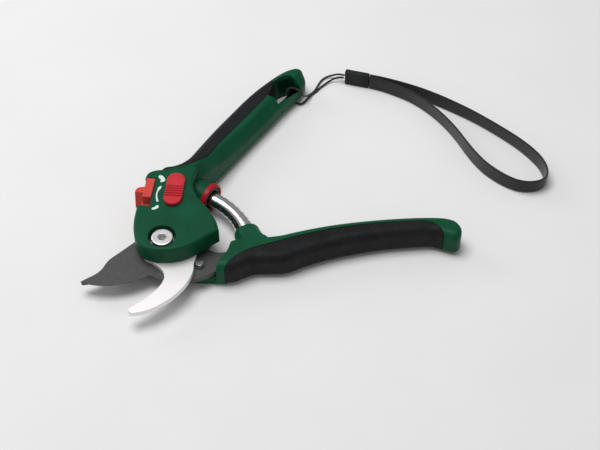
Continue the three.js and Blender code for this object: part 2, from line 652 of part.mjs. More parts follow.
// ---------------------------------------------------------------- latch and selector
const LATCH_ARM = { from: -19.6, to: -5, left: -1.8, right: 1.6, clear: 0.2 };
const LATCH_TAB = [[-2, 2.8], [-6.4, 1.9], [-7.4, 0.8], [-7.6, -2.4], [-6.4, -4.6], [-2, -5.4]];
const LATCH_CARRIER = 3.4; // half width

function latchButton() {
  const half = LATCH_LENGTH / 2;
  const bar = block([-LATCH_WIDTH / 2, -half, POCKET_TOP - 1], [LATCH_WIDTH / 2, half,
    HEAD_TOP + LATCH_PROUD]);
  const tab = prism(outline(LATCH_TAB), HEAD_BOTTOM + 0.6, HEAD_TOP + 0.2, 0.6);
  const carrier = block([-LATCH_CARRIER, -half - 1, HEAD_BOTTOM + GAP],
    [LATCH_CARRIER, half + 0.6, POCKET_TOP - GAP]);
  // The arm lies in the blade's layer and drops in front of the blade's tooth.
  const low = BLADE_BOTTOM + LATCH_ARM.clear;
  const armTop = BLADE_TOP - LATCH_ARM.clear;
  const arm = block([LATCH_ARM.left, LATCH_ARM.from, low], [LATCH_ARM.right, LATCH_ARM.to, armTop]);
  const leg = block([LATCH_ARM.left, -half - 1, low], [LATCH_ARM.right, LATCH_ARM.to, HEAD_BOTTOM + 1]);
  return slideFrame(bar.add(tab).add(carrier).add(arm).add(leg), LATCH_PLACE, LATCH_TILT);
}
addPiece(latch, 'latch_slide', latchButton(), 'red');

const SELECTOR_RIBS = 4;
const RIB_PITCH = 1.75;
const RIB_GROOVE = 0.8;
const RIB_DEPTH = 0.9;
const NECK_HALF = 4.6; // half length of the neck

function selectorButton() {
  const top = HEAD_TOP + SELECTOR_PROUD;
  let cap = prism(stadium(SELECTOR_WIDTH, SELECTOR_LENGTH), HEAD_TOP + GAP, top, 0.8);
  for (let k = 0; k < SELECTOR_RIBS; k += 1) {
    const y = (k - (SELECTOR_RIBS - 1) / 2) * RIB_PITCH;
    const nearSide = [-SELECTOR_WIDTH, y - RIB_GROOVE / 2, top - RIB_DEPTH];
    cap = cap.subtract(block(nearSide, [SELECTOR_WIDTH, y + RIB_GROOVE / 2, HIGH]));
  }
  const neck = block([-SLIDE_NECK / 2, -NECK_HALF, HEAD_BOTTOM + 1], [SLIDE_NECK / 2, NECK_HALF,
    HEAD_TOP + 1]);
  return slideFrame(cap.add(neck), SELECTOR_PLACE, SELECTOR_TILT);
}

function selectorCarrier() {
  const hole = [SLIDE_NECK / 2 + GAP, NECK_HALF + GAP];
  const carrier = block([-3.9, -7, POCKET_TOP - GAP - CARRIER_THICKNESS], [3.9, 7, POCKET_TOP - GAP])
    .subtract(block([-hole[0], -hole[1], LOW], [...hole, HIGH]));
  return slideFrame(carrier, SELECTOR_PLACE, SELECTOR_TILT);
}
addPiece(selector, 'selector_button', selectorButton(), 'red');
addPiece(selector, 'selector_carrier', selectorCarrier(), 'black');

// ---------------------------------------------------------------- lever: blade, handle, grip
const RIVETS = [[50, -0.4], [68, 4.4]];

function cuttingBlade() {
  let body = prism(bladeOutline(), BLADE_BOTTOM, BLADE_TOP)
    .subtract(post(0, 0, BLADE_EYE, LOW, HIGH))
    .subtract(post(...STOP_PIN_PLACE, STOP_PIN_RADIUS + GAP, LOW, HIGH, 20));
  for (const [x, y] of RIVETS) {
    body = body.subtract(post(x, y, RIVET_RADIUS + GAP, LOW, HIGH, 20));
  }
  return body;
}

// Slot for the tang, open at the handle's front.
function tangSlot() {
  const beyond = (x) => (x === TANG_END ? x + 0.5 : x);
  const inner = TANG_INNER.map(([x, y]) => [beyond(x), y + TANG_CLEARANCE]);
  const outer = [...EDGE.slice(-2), ...TANG_OUTER].map(([x, y]) => [beyond(x), y - TANG_CLEARANCE]);
  return prism(outline([...inner, ...outer]), BLADE_BOTTOM - TANG_CLEARANCE, BLADE_TOP + TANG_CLEARANCE);
}

// What the handle's concave front leaves free around the head, above and below the tang's layer.
const FRONT_ARC = [[37.4, 14], [37.2, 6], [36.4, 0.6], [34.8, -4.6], [32.2, -8.2], [30.2, -12.2],
  [28.8, -17.4],
  [20, -24], [10, 0], [20, 20]];
const FRONT_LOW = [[33, 20], [33, -4], [30, -8], [26, -24], [0, -24], [0, 20]];
const FRONT_STEP = BLADE_BOTTOM - 2;
// The tongue under the plate, forward of the handle.
const TONGUE = [[12.6, -14.2], [36, -14.6], [40, -2], [31, -4.6], [22, -9.4], [15, -12.6]];
const TONGUE_BOTTOM = 0.6;
const CUP_BOTTOM = 0.4;

function lowerBody() {
  const tongue = prism(outline(TONGUE), TONGUE_BOTTOM, COVER_THICKNESS - GAP, 0.8)
    .subtract(prism(lowerGripRegion(GAP), LOW, HIGH));
  const cupProfile = [[0, 0], [CUP_RADIUS - 0.6, 0], [CUP_RADIUS, 0.6],
  [CUP_ROOT_RADIUS, CUP_LENGTH], [0, CUP_LENGTH]];
  const cup = onSpringCircle(CUP_ANGLE, -1, cupProfile)
    .intersect(block([0, 0, CUP_BOTTOM], [100, 60, LOWER_THICKNESS]));
  let body = gripCore(lowerHandle, lowerGripRegion)
    .subtract(prism(outline(FRONT_ARC), FRONT_STEP, HIGH))
    .subtract(prism(outline(FRONT_LOW), LOW, FRONT_STEP + 0.1))
    .add(tongue)
    .add(cup)
    .subtract(onSpringCircle(CUP_ANGLE, -1, disc(SOCKET_RADIUS, -3, SOCKET_DEPTH)))
    .subtract(tangSlot());
  for (const [x, y] of RIVETS) {
    body = body.subtract(post(x, y, RIVET_RADIUS + GAP, RIVET_BOTTOM - GAP, RIVET_TOP + GAP, 20));
  }
  return body;
}
addPiece(lever, 'cutting_blade', cuttingBlade(), 'coated');
addPiece(lever, 'lower_body', lowerBody(), 'green');
addPiece(lever, 'lower_grip', gripSkin(lowerHandle, lowerGripRegion), 'rubber');
addPiece(lever, 'stop_pin',
  post(...STOP_PIN_PLACE, STOP_PIN_RADIUS, BLADE_BOTTOM, BLADE_TOP + STOP_PIN_PROUD, 24), 'plated');
RIVETS.forEach(([x, y], k) => {
  addPiece(lever, `tang_rivet_${k + 1}`, post(x, y, RIVET_RADIUS, RIVET_BOTTOM, RIVET_TOP, 20), 'plated');
});

// ---------------------------------------------------------------- spring
// Its axis is an arc of the spring circle, so that closing the shears only shortens it.
function springBody() {
  const depth = THREE.MathUtils.radToDeg((SOCKET_DEPTH - SPRING_END_GAP) / SPRING_CIRCLE);
  const steps = 18;
  const sides = 16;
  const rings = [];
  for (let k = 0; k <= steps; k += 1) {
    const t = k / steps;
    const angle = COLLAR_ANGLE + depth + (CUP_ANGLE - COLLAR_ANGLE - 2 * depth) * t;
    const radius = SPRING_SMALL_RADIUS + (SPRING_LARGE_RADIUS - SPRING_SMALL_RADIUS) * t;
    rings.push(Array.from({ length: sides }, (_, j) => {
      const turn = (2 * Math.PI * j) / sides;
      return [...polar(SPRING_CIRCLE + radius * Math.cos(turn), angle),
        SPRING_HEIGHT + radius * Math.sin(turn)];
    }));
  }
  return loft(rings);
}
addPiece(root, 'volute_spring', springBody(), 'plated');

// ---------------------------------------------------------------- wrist strap
// The strap moves with the tail when the handle's length changes.
const TAIL_SHIFT = upperPoint(stretchUpper(CORD_PASS) - CORD_PASS, 0);
const withTail = (points) => points.map(([x, y, ...z]) => [x + TAIL_SHIFT[0], y + TAIL_SHIFT[1], ...z]);

// The cord's route: out of the connector, along the ground, over and round the tail's bar and back.
const CORD_ROUTE = withTail([[102.6, 151.3, 5.4], [99, 153.6, 4], [95.5, 155, 2], [92, 154.6, 1],
  [89, 152.2, 0.8],
  [87, 148.8, 0.8], [85.5, 145.2, 0.8], [84, 141.4, 1.2], [81.6, 137.4, 2.2], [79.2, 133.4, 4.2],
  [77.6, 131.2, 6.2], [75.9, 130, 8.3], [74.3, 131.1, 10.5], [71.6, 132.4, 11.3], [68.9, 133.8, 10.5],
  [67.4, 134.8, 8], [67.2, 134.7, 4.4], [68.6, 133.4, 1.9], [71, 131.6, 1], [73.5, 129.9, 1.1],
  [75.8, 129.7, 1], [77.8, 131.8, 0.9], [80, 135.6, 0.9], [82.8, 139, 0.8], [85.4, 141.8, 0.8],
  [87.6, 144.8, 0.8], [90, 147.4, 0.8], [93, 150, 1.2], [96.2, 151.2, 2.4], [99.4, 150.8, 4],
  [102.2, 149.9, 4.6]]);
// The webbing's route at half its width, a flat strap standing on its edge.
const WEBBING_ROUTE = withTail([[118.5, 147.2], [124, 145.6], [130, 143.5], [140, 139.4], [150, 134.6],
  [160, 128.8], [170, 122.1], [180, 114.7], [190, 106.1], [200, 96.6], [207, 89], [213, 81], [217, 73.4],
  [218.6, 66], [217.7, 60.2], [213.9, 56.6], [207.5, 55.2], [201, 56.4], [195, 59.8], [189, 64.8],
  [183, 71.5], [178, 79.5], [174, 87.5], [169.5, 97.5], [165, 106], [160, 113.8], [154, 121.6],
  [147, 128.9], [140, 134.5], [130, 140.4], [124, 143.2], [118.2, 145.3]]);
const CONNECTOR_PLACE = withTail([[110.6, 148.6]])[0];
const CONNECTOR_TURN = -15.8;
const WEBBING_BOTTOM = 0.2;

function cordTube(route, radius, steps) {
  const path = new THREE.CatmullRomCurve3(route.map((p) => new THREE.Vector3(...p)), false, 'centripetal');
  const section = outline(rimPoints(0, 315, radius, 7));
  return solid(new THREE.ExtrudeGeometry(section, { steps, bevelEnabled: false, extrudePath: path }));
}

function webbingStrip(route, thickness, steps) {
  const path = new THREE.CatmullRomCurve3(route.map(([x, y]) => new THREE.Vector3(x, y, 0)),
    false, 'centripetal');
  const sides = [1, -1].map((side) => path.getSpacedPoints(steps).map((p, k) => {
    const tangent = path.getTangentAt(k / steps);
    return [p.x - (side * thickness * tangent.y) / 2, p.y + (side * thickness * tangent.x) / 2];
  }));
  return prism(outline([...sides[0], ...sides[1].reverse()]), WEBBING_BOTTOM,
    WEBBING_BOTTOM + WEBBING_WIDTH);
}

function connector() {
  const [x, y] = [CONNECTOR_LENGTH / 2, CONNECTOR_WIDTH / 2];
  return prism(outline([[-x, y], [-x, -y], [x, -y], [x, y]]), 0, CONNECTOR_HEIGHT, 0.7)
    .rotate([0, 0, CONNECTOR_TURN]).translate([...CONNECTOR_PLACE, 0]);
}

addPiece(root, 'cord_loop', cordTube(CORD_ROUTE, CORD_RADIUS, 72), 'fabric');
addPiece(root, 'strap_connector', connector(), 'black');
addPiece(root, 'wrist_strap', webbingStrip(WEBBING_ROUTE, WEBBING_THICKNESS, 70), 'fabric');

export default shears;
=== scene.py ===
"""Bypass pruning shears lying open on their side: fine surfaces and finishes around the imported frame.

Shape functions work in millimetres and every mesh is stored in metres, in the frame's own axes:
the pivot is the Z axis, Z = 0 is the resting plane, and the spring's axis is an arc about the pivot.
"""

import math

import bmesh
import bpy
import numpy as np
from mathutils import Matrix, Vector


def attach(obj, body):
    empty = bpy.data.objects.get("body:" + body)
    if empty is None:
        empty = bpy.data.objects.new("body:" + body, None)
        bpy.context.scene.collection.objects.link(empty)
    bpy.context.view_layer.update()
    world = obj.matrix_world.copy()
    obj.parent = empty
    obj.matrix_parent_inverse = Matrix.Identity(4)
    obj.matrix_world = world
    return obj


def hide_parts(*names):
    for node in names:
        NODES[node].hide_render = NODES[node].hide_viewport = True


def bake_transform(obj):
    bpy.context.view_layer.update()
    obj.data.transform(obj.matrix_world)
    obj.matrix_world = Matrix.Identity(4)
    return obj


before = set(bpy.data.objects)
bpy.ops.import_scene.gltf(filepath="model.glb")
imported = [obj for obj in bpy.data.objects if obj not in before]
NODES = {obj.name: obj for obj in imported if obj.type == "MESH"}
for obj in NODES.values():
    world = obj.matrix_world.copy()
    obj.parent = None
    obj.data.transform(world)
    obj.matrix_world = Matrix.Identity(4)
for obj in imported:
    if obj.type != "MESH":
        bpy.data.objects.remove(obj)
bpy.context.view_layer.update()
MM = 0.001

# ------------------------------------------------------------------ sizes shared with the CAD, mm
BLADE_BOTTOM, BLADE_TOP = 6.6, 9.8
HOOK_BOTTOM, HOOK_TOP = 10.1, 13.1
HEAD_BOTTOM, HEAD_TOP = 13.4, 24.4
POCKET_TOP = 19.0
COVER_TOP = 6.3
UPPER_ANGLE = math.radians(56)
LOWER_TOP = 16.5
SPRING_CIRCLE = 47.6
SPRING_HEIGHT = 9.5
COLLAR_ANGLE = 58
CUP_ANGLE = 19.376
SOCKET_RADIUS, SOCKET_DEPTH = 5.6, 7.0
GRIP_WALL = 2.2
SEAM = 0.12  # half the fine gap between grip and shell
LOW, HIGH = -5.0, 60.0  # cutting solids start under the part and end over it
# Radii of holes, each a little larger than what passes through it, and the heights where they end.
BOLT_HOLE, BOLT_RECESS, RECESS_FLOOR = 4.3, 7.5, 19.2
BUSH_HOLE = 5.6
NUT_POCKET, NUT_POCKET_TOP = 6.7, 4.5
SCREW_POST, SCREW_HOLE, SCREW_HOLE_TOP = 3.2, 1.8, 13.3
SCREW_HEAD_HOLE, SCREW_HEAD_TOP = 3.2, 2.3
STOP_PIN_HOLE = 2.25


# ------------------------------------------------------------------ camera
def aim(place, target):
    """The rotation that turns an object's -Z axis from its place to the target, with Y kept up."""
    return (Vector(target) - Vector(place)).to_track_quat("-Z", "Y").to_euler()


def add_camera(place, target, lens):
    """A level camera at a point, looking at another."""
    data = bpy.data.cameras.new("camera")
    data.lens, data.sensor_width = lens, 36
    data.clip_start, data.clip_end = 0.01, 20
    camera = bpy.data.objects.new("camera", data)
    camera.location = place
    camera.rotation_euler = aim(place, target)
    bpy.context.scene.collection.objects.link(camera)
    bpy.context.scene.camera = camera


add_camera((0.07486, -0.48644, 0.57321), (0.07486, 0.02968, 0.0), 81.2)
bpy.context.scene.view_settings.view_transform = "Standard"  # colours show as their sRGB values


# ------------------------------------------------------------------ curves and outlines
def smooth_path(points, step, closed=False):
    """Centripetal Catmull-Rom curve through the points, read at even steps of its length.

    Between two points the curve is the cubic whose end slopes are the blend of the neighbouring
    chords, each chord counted by the square root of its length.
    """
    p = np.asarray(points, float)
    ends = (p[-1:], p[:2]) if closed else (2 * p[:1] - p[1:2], 2 * p[-1:] - p[-2:-1])
    p = np.vstack([ends[0], p, ends[1]])
    gap = np.linalg.norm(np.diff(p, axis=0), axis=1, keepdims=True) ** 0.5
    chord = np.diff(p, axis=0) / gap
    slope = chord[:-1] - (p[2:] - p[:-2]) / (gap[1:] + gap[:-1]) + chord[1:]
    start, stop, span = p[1:-2], p[2:-1], gap[1:-1]
    t = np.linspace(0, 1, 17)[:-1, None, None]
    curve = (
        (2 * t**3 - 3 * t**2 + 1) * start
        + (t**3 - 2 * t**2 + t) * span * slope[:-1]
        + (3 * t**2 - 2 * t**3) * stop
        + (t**3 - t**2) * span * slope[1:]
    )
    curve = np.vstack([curve.transpose(1, 0, 2).reshape(-1, p.shape[1]), stop[-1:]])
    run = np.concatenate([[0], np.cumsum(np.linalg.norm(np.diff(curve, axis=0), axis=1))])
    even = np.linspace(0, run[-1], max(2, round(run[-1] / step)) + 1)
    path = np.stack([np.interp(even, run, column) for column in curve.T], 1)
    return path[:-1] if closed else path


def outline(*runs, step=0.7):
    """Smooth runs of points joined end to end, with a corner where one run meets the next."""
    return np.vstack([smooth_path(run, step)[:-1] for run in runs])


def unit(vectors):
    """Each row divided by its length."""
    return vectors / np.linalg.norm(vectors, axis=1, keepdims=True)


def leftward(directions):
    """Plan directions turned a quarter turn to the left."""
    return np.stack([-directions[:, 1], directions[:, 0]], 1)


def inset(loop, distance):
    """Each point of a counter-clockwise loop moved inwards, along the bisector of its two sides."""
    normal = leftward(unit(np.roll(loop, -1, 0) - loop))
    bisector = unit(normal + np.roll(normal, 1, 0))
    reach = np.clip((bisector * normal).sum(1, keepdims=True), 0.5, 1)
    return loop + bisector * np.reshape(distance, (-1, 1)) / reach


def turned_plan(points, place, tilt):
    """Plan points given about a place, on axes turned clockwise by tilt degrees."""
    a = math.radians(tilt)
    x, y = np.asarray(points, float).T
    return np.stack([place[0] + x * math.cos(a) + y * math.sin(a),
                     place[1] - x * math.sin(a) + y * math.cos(a)], 1)


# ------------------------------------------------------------------ solids
def new_solid(name, points, faces):
    """A closed mesh object from points in millimetres, its faces turned to point outwards."""
    mesh = bpy.data.meshes.new(name)
    mesh.from_pydata((np.asarray(points) * MM).tolist(), [], faces)
    shell = bmesh.new()
    shell.from_mesh(mesh)
    bmesh.ops.recalc_face_normals(shell, faces=shell.faces)
    shell.to_mesh(mesh)
    shell.free()
    made = bpy.data.objects.new(name, mesh)
    bpy.context.scene.collection.objects.link(made)
    return made


def skin(name, rings, closed=False):
    """Quads between each ring of points and the next, with a face over the first and last ring.

    When closed, quads join the last ring to the first instead."""
    rows, count = rings.shape[:2]
    here = np.arange(rows * count).reshape(rows, count)
    after = np.roll(here, -1, 0) if closed else here[1:]
    here_rows = here if closed else here[:-1]
    quads = np.stack([here_rows, np.roll(here_rows, -1, 1), np.roll(after, -1, 1), after], -1)
    faces = quads.reshape(-1, 4).tolist()
    if not closed:
        faces += [here[0][::-1].tolist(), here[-1].tolist()]
    return new_solid(name, rings.reshape(-1, 3), faces)


def edge_profile(low, high, low_edge, high_edge, steps=6):
    """(inset, height) pairs from the bottom face up: a quarter circle at each edge."""
    turn = np.linspace(0, math.pi / 2, steps)
    lower = np.stack([low_edge * (1 - np.sin(turn)), low + low_edge * (1 - np.cos(turn))], 1)
    upper = np.stack([high_edge * (1 - np.cos(turn)), high - high_edge * (1 - np.sin(turn))], 1)
    return np.vstack([lower if low_edge else [[0, low]], upper if high_edge else [[0, high]]])


def plate(name, loop, profile):
    """A plan outline carried up through (inset, height) pairs."""
    rings = [np.column_stack([inset(loop, d) if np.any(d) else loop, np.full(len(loop), z)])
             for d, z in profile]
    return skin(name, np.array(rings))


def prism(loop, low=LOW, high=HIGH):
    """A plan outline carried straight up between two heights."""
    return plate("tool", loop, [(0, low), (0, high)])


def box_solid(low, high, place=(0, 0), tilt=0):
    """A box between two corners given about a place, on axes turned clockwise by tilt degrees."""
    (x0, y0, z0), (x1, y1, z1) = low, high
    return prism(turned_plan([[x0, y0], [x1, y0], [x1, y1], [x0, y1]], place, tilt), z0, z1)


def lathe_rings(profile, sides=64):
    """(radius, height) pairs turned about the vertical axis: (pairs, sides, 3)."""
    radius, height = np.asarray(profile, float).T
    turn = np.arange(sides) * 2 * math.pi / sides
    return np.stack([radius[:, None] * np.cos(turn), radius[:, None] * np.sin(turn),
                     np.repeat(height[:, None], sides, 1)], -1)


def post(x, y, profile, sides=64):
    """(radius, height) pairs turned about the upright axis through a plan point."""
    return skin("tool", lathe_rings(profile, sides) + [x, y, 0])


def on_spring_circle(rings, degrees, back):
    """Lathe rings with their axis laid along the spring's circle at a polar angle.

    Heights run back from the seat face: anticlockwise when back is 1, clockwise when it is -1."""
    a = math.radians(degrees)
    radial = np.array([math.cos(a), math.sin(a), 0])
    tangent = np.array([-math.sin(a), math.cos(a), 0]) * back
    return (rings[..., :1] * radial + rings[..., 1:2] * [0, 0, 1] + rings[..., 2:] * tangent
            + SPRING_CIRCLE * radial + [0, 0, SPRING_HEIGHT])


def seat_solid(name, degrees, back, profile):
    """(radius, height) pairs turned about the spring's axis at a polar angle."""
    return skin(name, on_spring_circle(lathe_rings(profile), degrees, back))


def combine(base, *steps):
    """Joins, cuts or keeps solids in turn; the result becomes the base's own mesh."""
    operations = {"join": "UNION", "cut": "DIFFERENCE", "keep": "INTERSECT"}
    for how, other in steps:
        tool = base.modifiers.new(how, "BOOLEAN")
        tool.operation, tool.solver, tool.object = operations[how], "MANIFOLD", other
    graph = bpy.context.evaluated_depsgraph_get()
    result = bpy.data.meshes.new_from_object(base.evaluated_get(graph))
    base.modifiers.clear()
    base.data = result
    for _, other in steps:
        bpy.data.objects.remove(other)
    return base


# ------------------------------------------------------------------ materials
def linear(code):
    """An sRGB hex colour as linear red, green, blue and full alpha."""
    channel = np.array([int(code[k:k + 2], 16) for k in (1, 3, 5)]) / 255
    value = np.where(channel <= 0.04045, channel / 12.92, ((channel + 0.055) / 1.055) ** 2.4)
    return (*value.tolist(), 1.0)


def add(tree, kind, inputs=None, **settings):
    """Adds one node; inputs are its sockets by name or number, each a value or another's socket."""
    made = tree.nodes.new(kind)
    for key, value in settings.items():
        setattr(made, key, value)
    for key, value in (inputs or {}).items():
        if isinstance(value, bpy.types.NodeSocket):
            tree.links.new(value, made.inputs[key])
        else:
            made.inputs[key].default_value = value
    return made


def new_finish(name, colour, roughness, metallic=0.0, **sockets):
    """A material with one Principled shader; returns the material, its tree, shader and position."""
    made = bpy.data.materials.new(name)
    made.use_nodes = True
    tree = made.node_tree
    shader = tree.nodes["Principled BSDF"]
    shader.inputs["Base Color"].default_value = linear(colour)
    shader.inputs["Roughness"].default_value = roughness
    shader.inputs["Metallic"].default_value = metallic
    for key, value in sockets.items():
        shader.inputs[key.replace("_", " ")].default_value = value
    place = add(tree, "ShaderNodeTexCoord").outputs["Object"]
    return made, tree, shader, place


def two_tones(tree, shader, value, low, high, dark, light):
    """Base colour that runs from a dark to a light tone as a value goes from low to high.

    Returns how far the value has gone, from 0 to 1."""
    share = add(tree, "ShaderNodeMapRange",
                {"Value": value, "From Min": low, "From Max": high}).outputs["Result"]
    mix = add(tree, "ShaderNodeMix", {"Factor": share}, data_type="RGBA")
    mix.inputs["A"].default_value, mix.inputs["B"].default_value = linear(dark), linear(light)
    tree.links.new(mix.outputs["Result"], shader.inputs["Base Color"])
    return share


def mottle(tree, shader, place, dark, light, size):
    """Colour that drifts between two tones over patches of the given size in millimetres."""
    cloud = add(tree, "ShaderNodeTexNoise", {"Vector": place, "Scale": 1 / (size * MM), "Detail": 3.0})
    two_tones(tree, shader, cloud.outputs["Fac"], 0.35, 0.65, dark, light)


def vary_roughness(tree, shader, place, least, most, size):
    """Roughness that drifts between two values over patches of the given size in millimetres."""
    cloud = add(tree, "ShaderNodeTexNoise", {"Vector": place, "Scale": 1 / (size * MM), "Detail": 4.0})
    spread = add(tree, "ShaderNodeMapRange",
                 {"Value": cloud.outputs["Fac"], "From Min": 0.3, "From Max": 0.7,
                                              "To Min": least, "To Max": most})
    tree.links.new(spread.outputs["Result"], shader.inputs["Roughness"])


def bump(tree, shader, height, depth, strength=1.0, edge=0.0):
    """Turns a height of 0 to 1 into relief of the given depth in millimetres.

    When edge is given, the shading also rounds the piece's edges by that many millimetres."""
    settings = {"Height": height, "Distance": depth * MM, "Strength": strength}
    if edge:
        settings["Normal"] = add(tree, "ShaderNodeBevel", {"Radius": edge * MM},
                                 samples=6).outputs["Normal"]
    relief = add(tree, "ShaderNodeBump", settings)
    tree.links.new(relief.outputs["Normal"], shader.inputs["Normal"])


def moulded_nylon(name, dark, light, roughness, grain=0.35, depth=0.012):
    """Glass-filled nylon from a lightly spark-eroded mould: satin, with a very fine orange-peel."""
    made, tree, shader, place = new_finish(name, light, roughness, Specular_IOR_Level=0.16)
    mottle(tree, shader, place, dark, light, 16)
    vary_roughness(tree, shader, place, roughness - 0.05, roughness + 0.06, 5)
    peel = add(tree, "ShaderNodeTexNoise", {"Vector": place, "Scale": 1 / (grain * MM), "Detail": 2.0})
    bump(tree, shader, peel.outputs["Fac"], depth, edge=0.35)
    return made


def moulded_rubber():
    """Thermoplastic rubber moulded over the shell: matt, with a soft broad highlight.

    Its grain is drawn 0.6 mm wide so that it shows."""
    made, tree, shader, place = new_finish("black_moulded_rubber", "#141517", 0.62,
                                           Specular_IOR_Level=0.2, Sheen_Weight=0.03)
    mottle(tree, shader, place, "#101113", "#18191B", 9)
    vary_roughness(tree, shader, place, 0.55, 0.72, 3)
    grain = add(tree, "ShaderNodeTexVoronoi", {"Vector": place, "Scale": 1 / (0.6 * MM)})
    bump(tree, shader, grain.outputs["Distance"], 0.03, 0.6, edge=0.4)
    return made


def coated_blade_steel():
    """Blade steel under a baked non-stick coating: dark grey, dull, finely speckled."""
    made, tree, shader, place = new_finish("non_stick_coated_steel", "#4A4A4A", 0.5, 0.0,
                                           Specular_IOR_Level=0.35)
    mottle(tree, shader, place, "#474747", "#4E4E4E", 2.5)
    vary_roughness(tree, shader, place, 0.42, 0.56, 4)
    speckle = add(tree, "ShaderNodeTexNoise", {"Vector": place, "Scale": 1 / (0.4 * MM), "Detail": 4.0})
    bump(tree, shader, speckle.outputs["Fac"], 0.012, edge=0.2)
    return made


def ground_steel(name, colour, roughness, along, across, metallic):
    """Steel ground with a belt: bright, with lines along X. Along and across are their length and
    spacing in millimetres, coarser than a belt leaves them, so that they show."""
    made, tree, shader, place = new_finish(name, colour, roughness, metallic)
    stretch = add(tree, "ShaderNodeMapping",
                  {"Vector": place, "Scale": (1 / (along * MM), 1 / (across * MM), 1 / (across * MM))})
    lines = add(tree, "ShaderNodeTexNoise",
                {"Vector": stretch.outputs["Vector"], "Scale": 1.0, "Detail": 3.0})
    spread = add(tree, "ShaderNodeMapRange",
                 {"Value": lines.outputs["Fac"], "From Min": 0.3, "From Max": 0.7,
                                              "To Min": roughness - 0.06, "To Max": roughness + 0.08})
    tree.links.new(spread.outputs["Result"], shader.inputs["Roughness"])
    bump(tree, shader, lines.outputs["Fac"], 0.006, edge=0.2)
    return made


def plated_steel(name, colour, roughness, edge=0.15, depth=0.006):
    """Zinc-nickel plate over turned or rolled steel: bright, faintly clouded."""
    made, tree, shader, place = new_finish(name, colour, roughness, 1.0)
    vary_roughness(tree, shader, place, roughness - 0.04, roughness + 0.07, 1.5)
    cloud = add(tree, "ShaderNodeTexNoise", {"Vector": place, "Scale": 1 / (0.8 * MM), "Detail": 2.0})
    bump(tree, shader, cloud.outputs["Fac"], depth, edge=edge)
    return made


def weave_axes(tree):
    """The weave map's two distances in metres: X around the section and Y along the route."""
    weave = add(tree, "ShaderNodeUVMap", uv_map="weave")
    return add(tree, "ShaderNodeSeparateXYZ", {"Vector": weave.outputs["UV"]}).outputs


def thread_wave(tree, distance, pitch):
    """A sine wave from -1 to 1 over a distance in metres, one period to each pitch in millimetres."""
    turn = add(tree, "ShaderNodeMath", {0: distance, 1: 2 * math.pi / (pitch * MM)}, operation="MULTIPLY")
    return add(tree, "ShaderNodeMath", {0: turn.outputs[0]}, operation="SINE").outputs[0]


def woven_webbing():
    """Narrow nylon webbing: a check of small bumps, a wave around the section times one along it.

    The waves are 0.9 and 1.15 mm long so that the weave shows."""
    made, tree, shader, _ = new_finish("black_nylon_webbing", "#1C1C1C", 0.85,
                                       Sheen_Weight=0.35, Sheen_Roughness=0.5, Specular_IOR_Level=0.25)
    axes = weave_axes(tree)
    waves = [thread_wave(tree, axes[axis], pitch) for axis, pitch in (("X", 0.9), ("Y", 1.15))]
    check = add(tree, "ShaderNodeMath", {0: waves[0], 1: waves[1]}, operation="MULTIPLY").outputs[0]
    bump(tree, shader, two_tones(tree, shader, check, -1.0, 1.0, "#0E0E0E", "#2A2A2A"), 0.12, 0.8)
    return made


def braided_cord():
    """Thin polyester cord of twisted yarns: a slanting wave, drawn 1.4 mm long so that it shows."""
    made, tree, shader, _ = new_finish("black_braided_cord", "#171717", 0.8,
                                       Sheen_Weight=0.3, Specular_IOR_Level=0.25)
    axes = weave_axes(tree)
    slant = add(tree, "ShaderNodeMath", {0: axes["X"], 1: axes["Y"]}, operation="ADD")
    wave = thread_wave(tree, slant.outputs[0], 1.4)
    bump(tree, shader, two_tones(tree, shader, wave, -1.0, 1.0, "#0C0C0C", "#242424"), 0.15)
    return made


def printed_ink():
    """Pad-printed white ink: flat and slightly uneven."""
    made, tree, shader, place = new_finish("white_printed_ink", "#E1F5EB", 0.6)
    mottle(tree, shader, place, "#CFE6DA", "#E8F7EF", 1.2)
    return made


GREEN = moulded_nylon("green_moulded_nylon", "#02472C", "#055036", 0.45)
RED = moulded_nylon("red_moulded_nylon", "#BE2A33", "#CB353D", 0.38, grain=0.3, depth=0.008)
DARK_RED = moulded_nylon("dark_red_moulded_nylon", "#A21B27", "#B0232F", 0.35, grain=0.3, depth=0.008)
BLACK_PLASTIC = moulded_nylon("black_moulded_nylon", "#1F2021", "#272829", 0.5)
RUBBER = moulded_rubber()
COATED = coated_blade_steel()
HOOK_STEEL = ground_steel("ground_blade_steel", "#F2F0F0", 0.46, 6.0, 0.35, metallic=0.6)
PLATED = plated_steel("plated_steel", "#DEDDDF", 0.24)
SPRING_STEEL = plated_steel("plated_spring_strip", "#D6D6D9", 0.2, edge=0, depth=0.002)
BRONZE = plated_steel("machined_bronze", "#A9804A", 0.35)
WEBBING = woven_webbing()
CORD = braided_cord()
INK = printed_ink()
LATCH_RED = moulded_nylon("latch_red_nylon", "#CE443E", "#D9514A", 0.42, grain=0.3, depth=0.008)
BOLT_STEEL = plated_steel("turned_bolt_head", "#E6E4E4", 0.36)


def piece(made, name, body, finish, nodes=(), sharp=34):
    """Names a solid and gives it its shading, finish, body and the CAD nodes it stands for."""
    made.name = made.data.name = name
    made.data.materials.clear()
    made.data.materials.append(finish)
    made.data.shade_smooth()
    made.data.set_sharp_from_angle(angle=math.radians(sharp))
    weighted = made.modifiers.new("weighted normals", "WEIGHTED_NORMAL")
    weighted.keep_sharp = True
    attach(made, body)
    if nodes:
        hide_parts(*nodes)
    return made


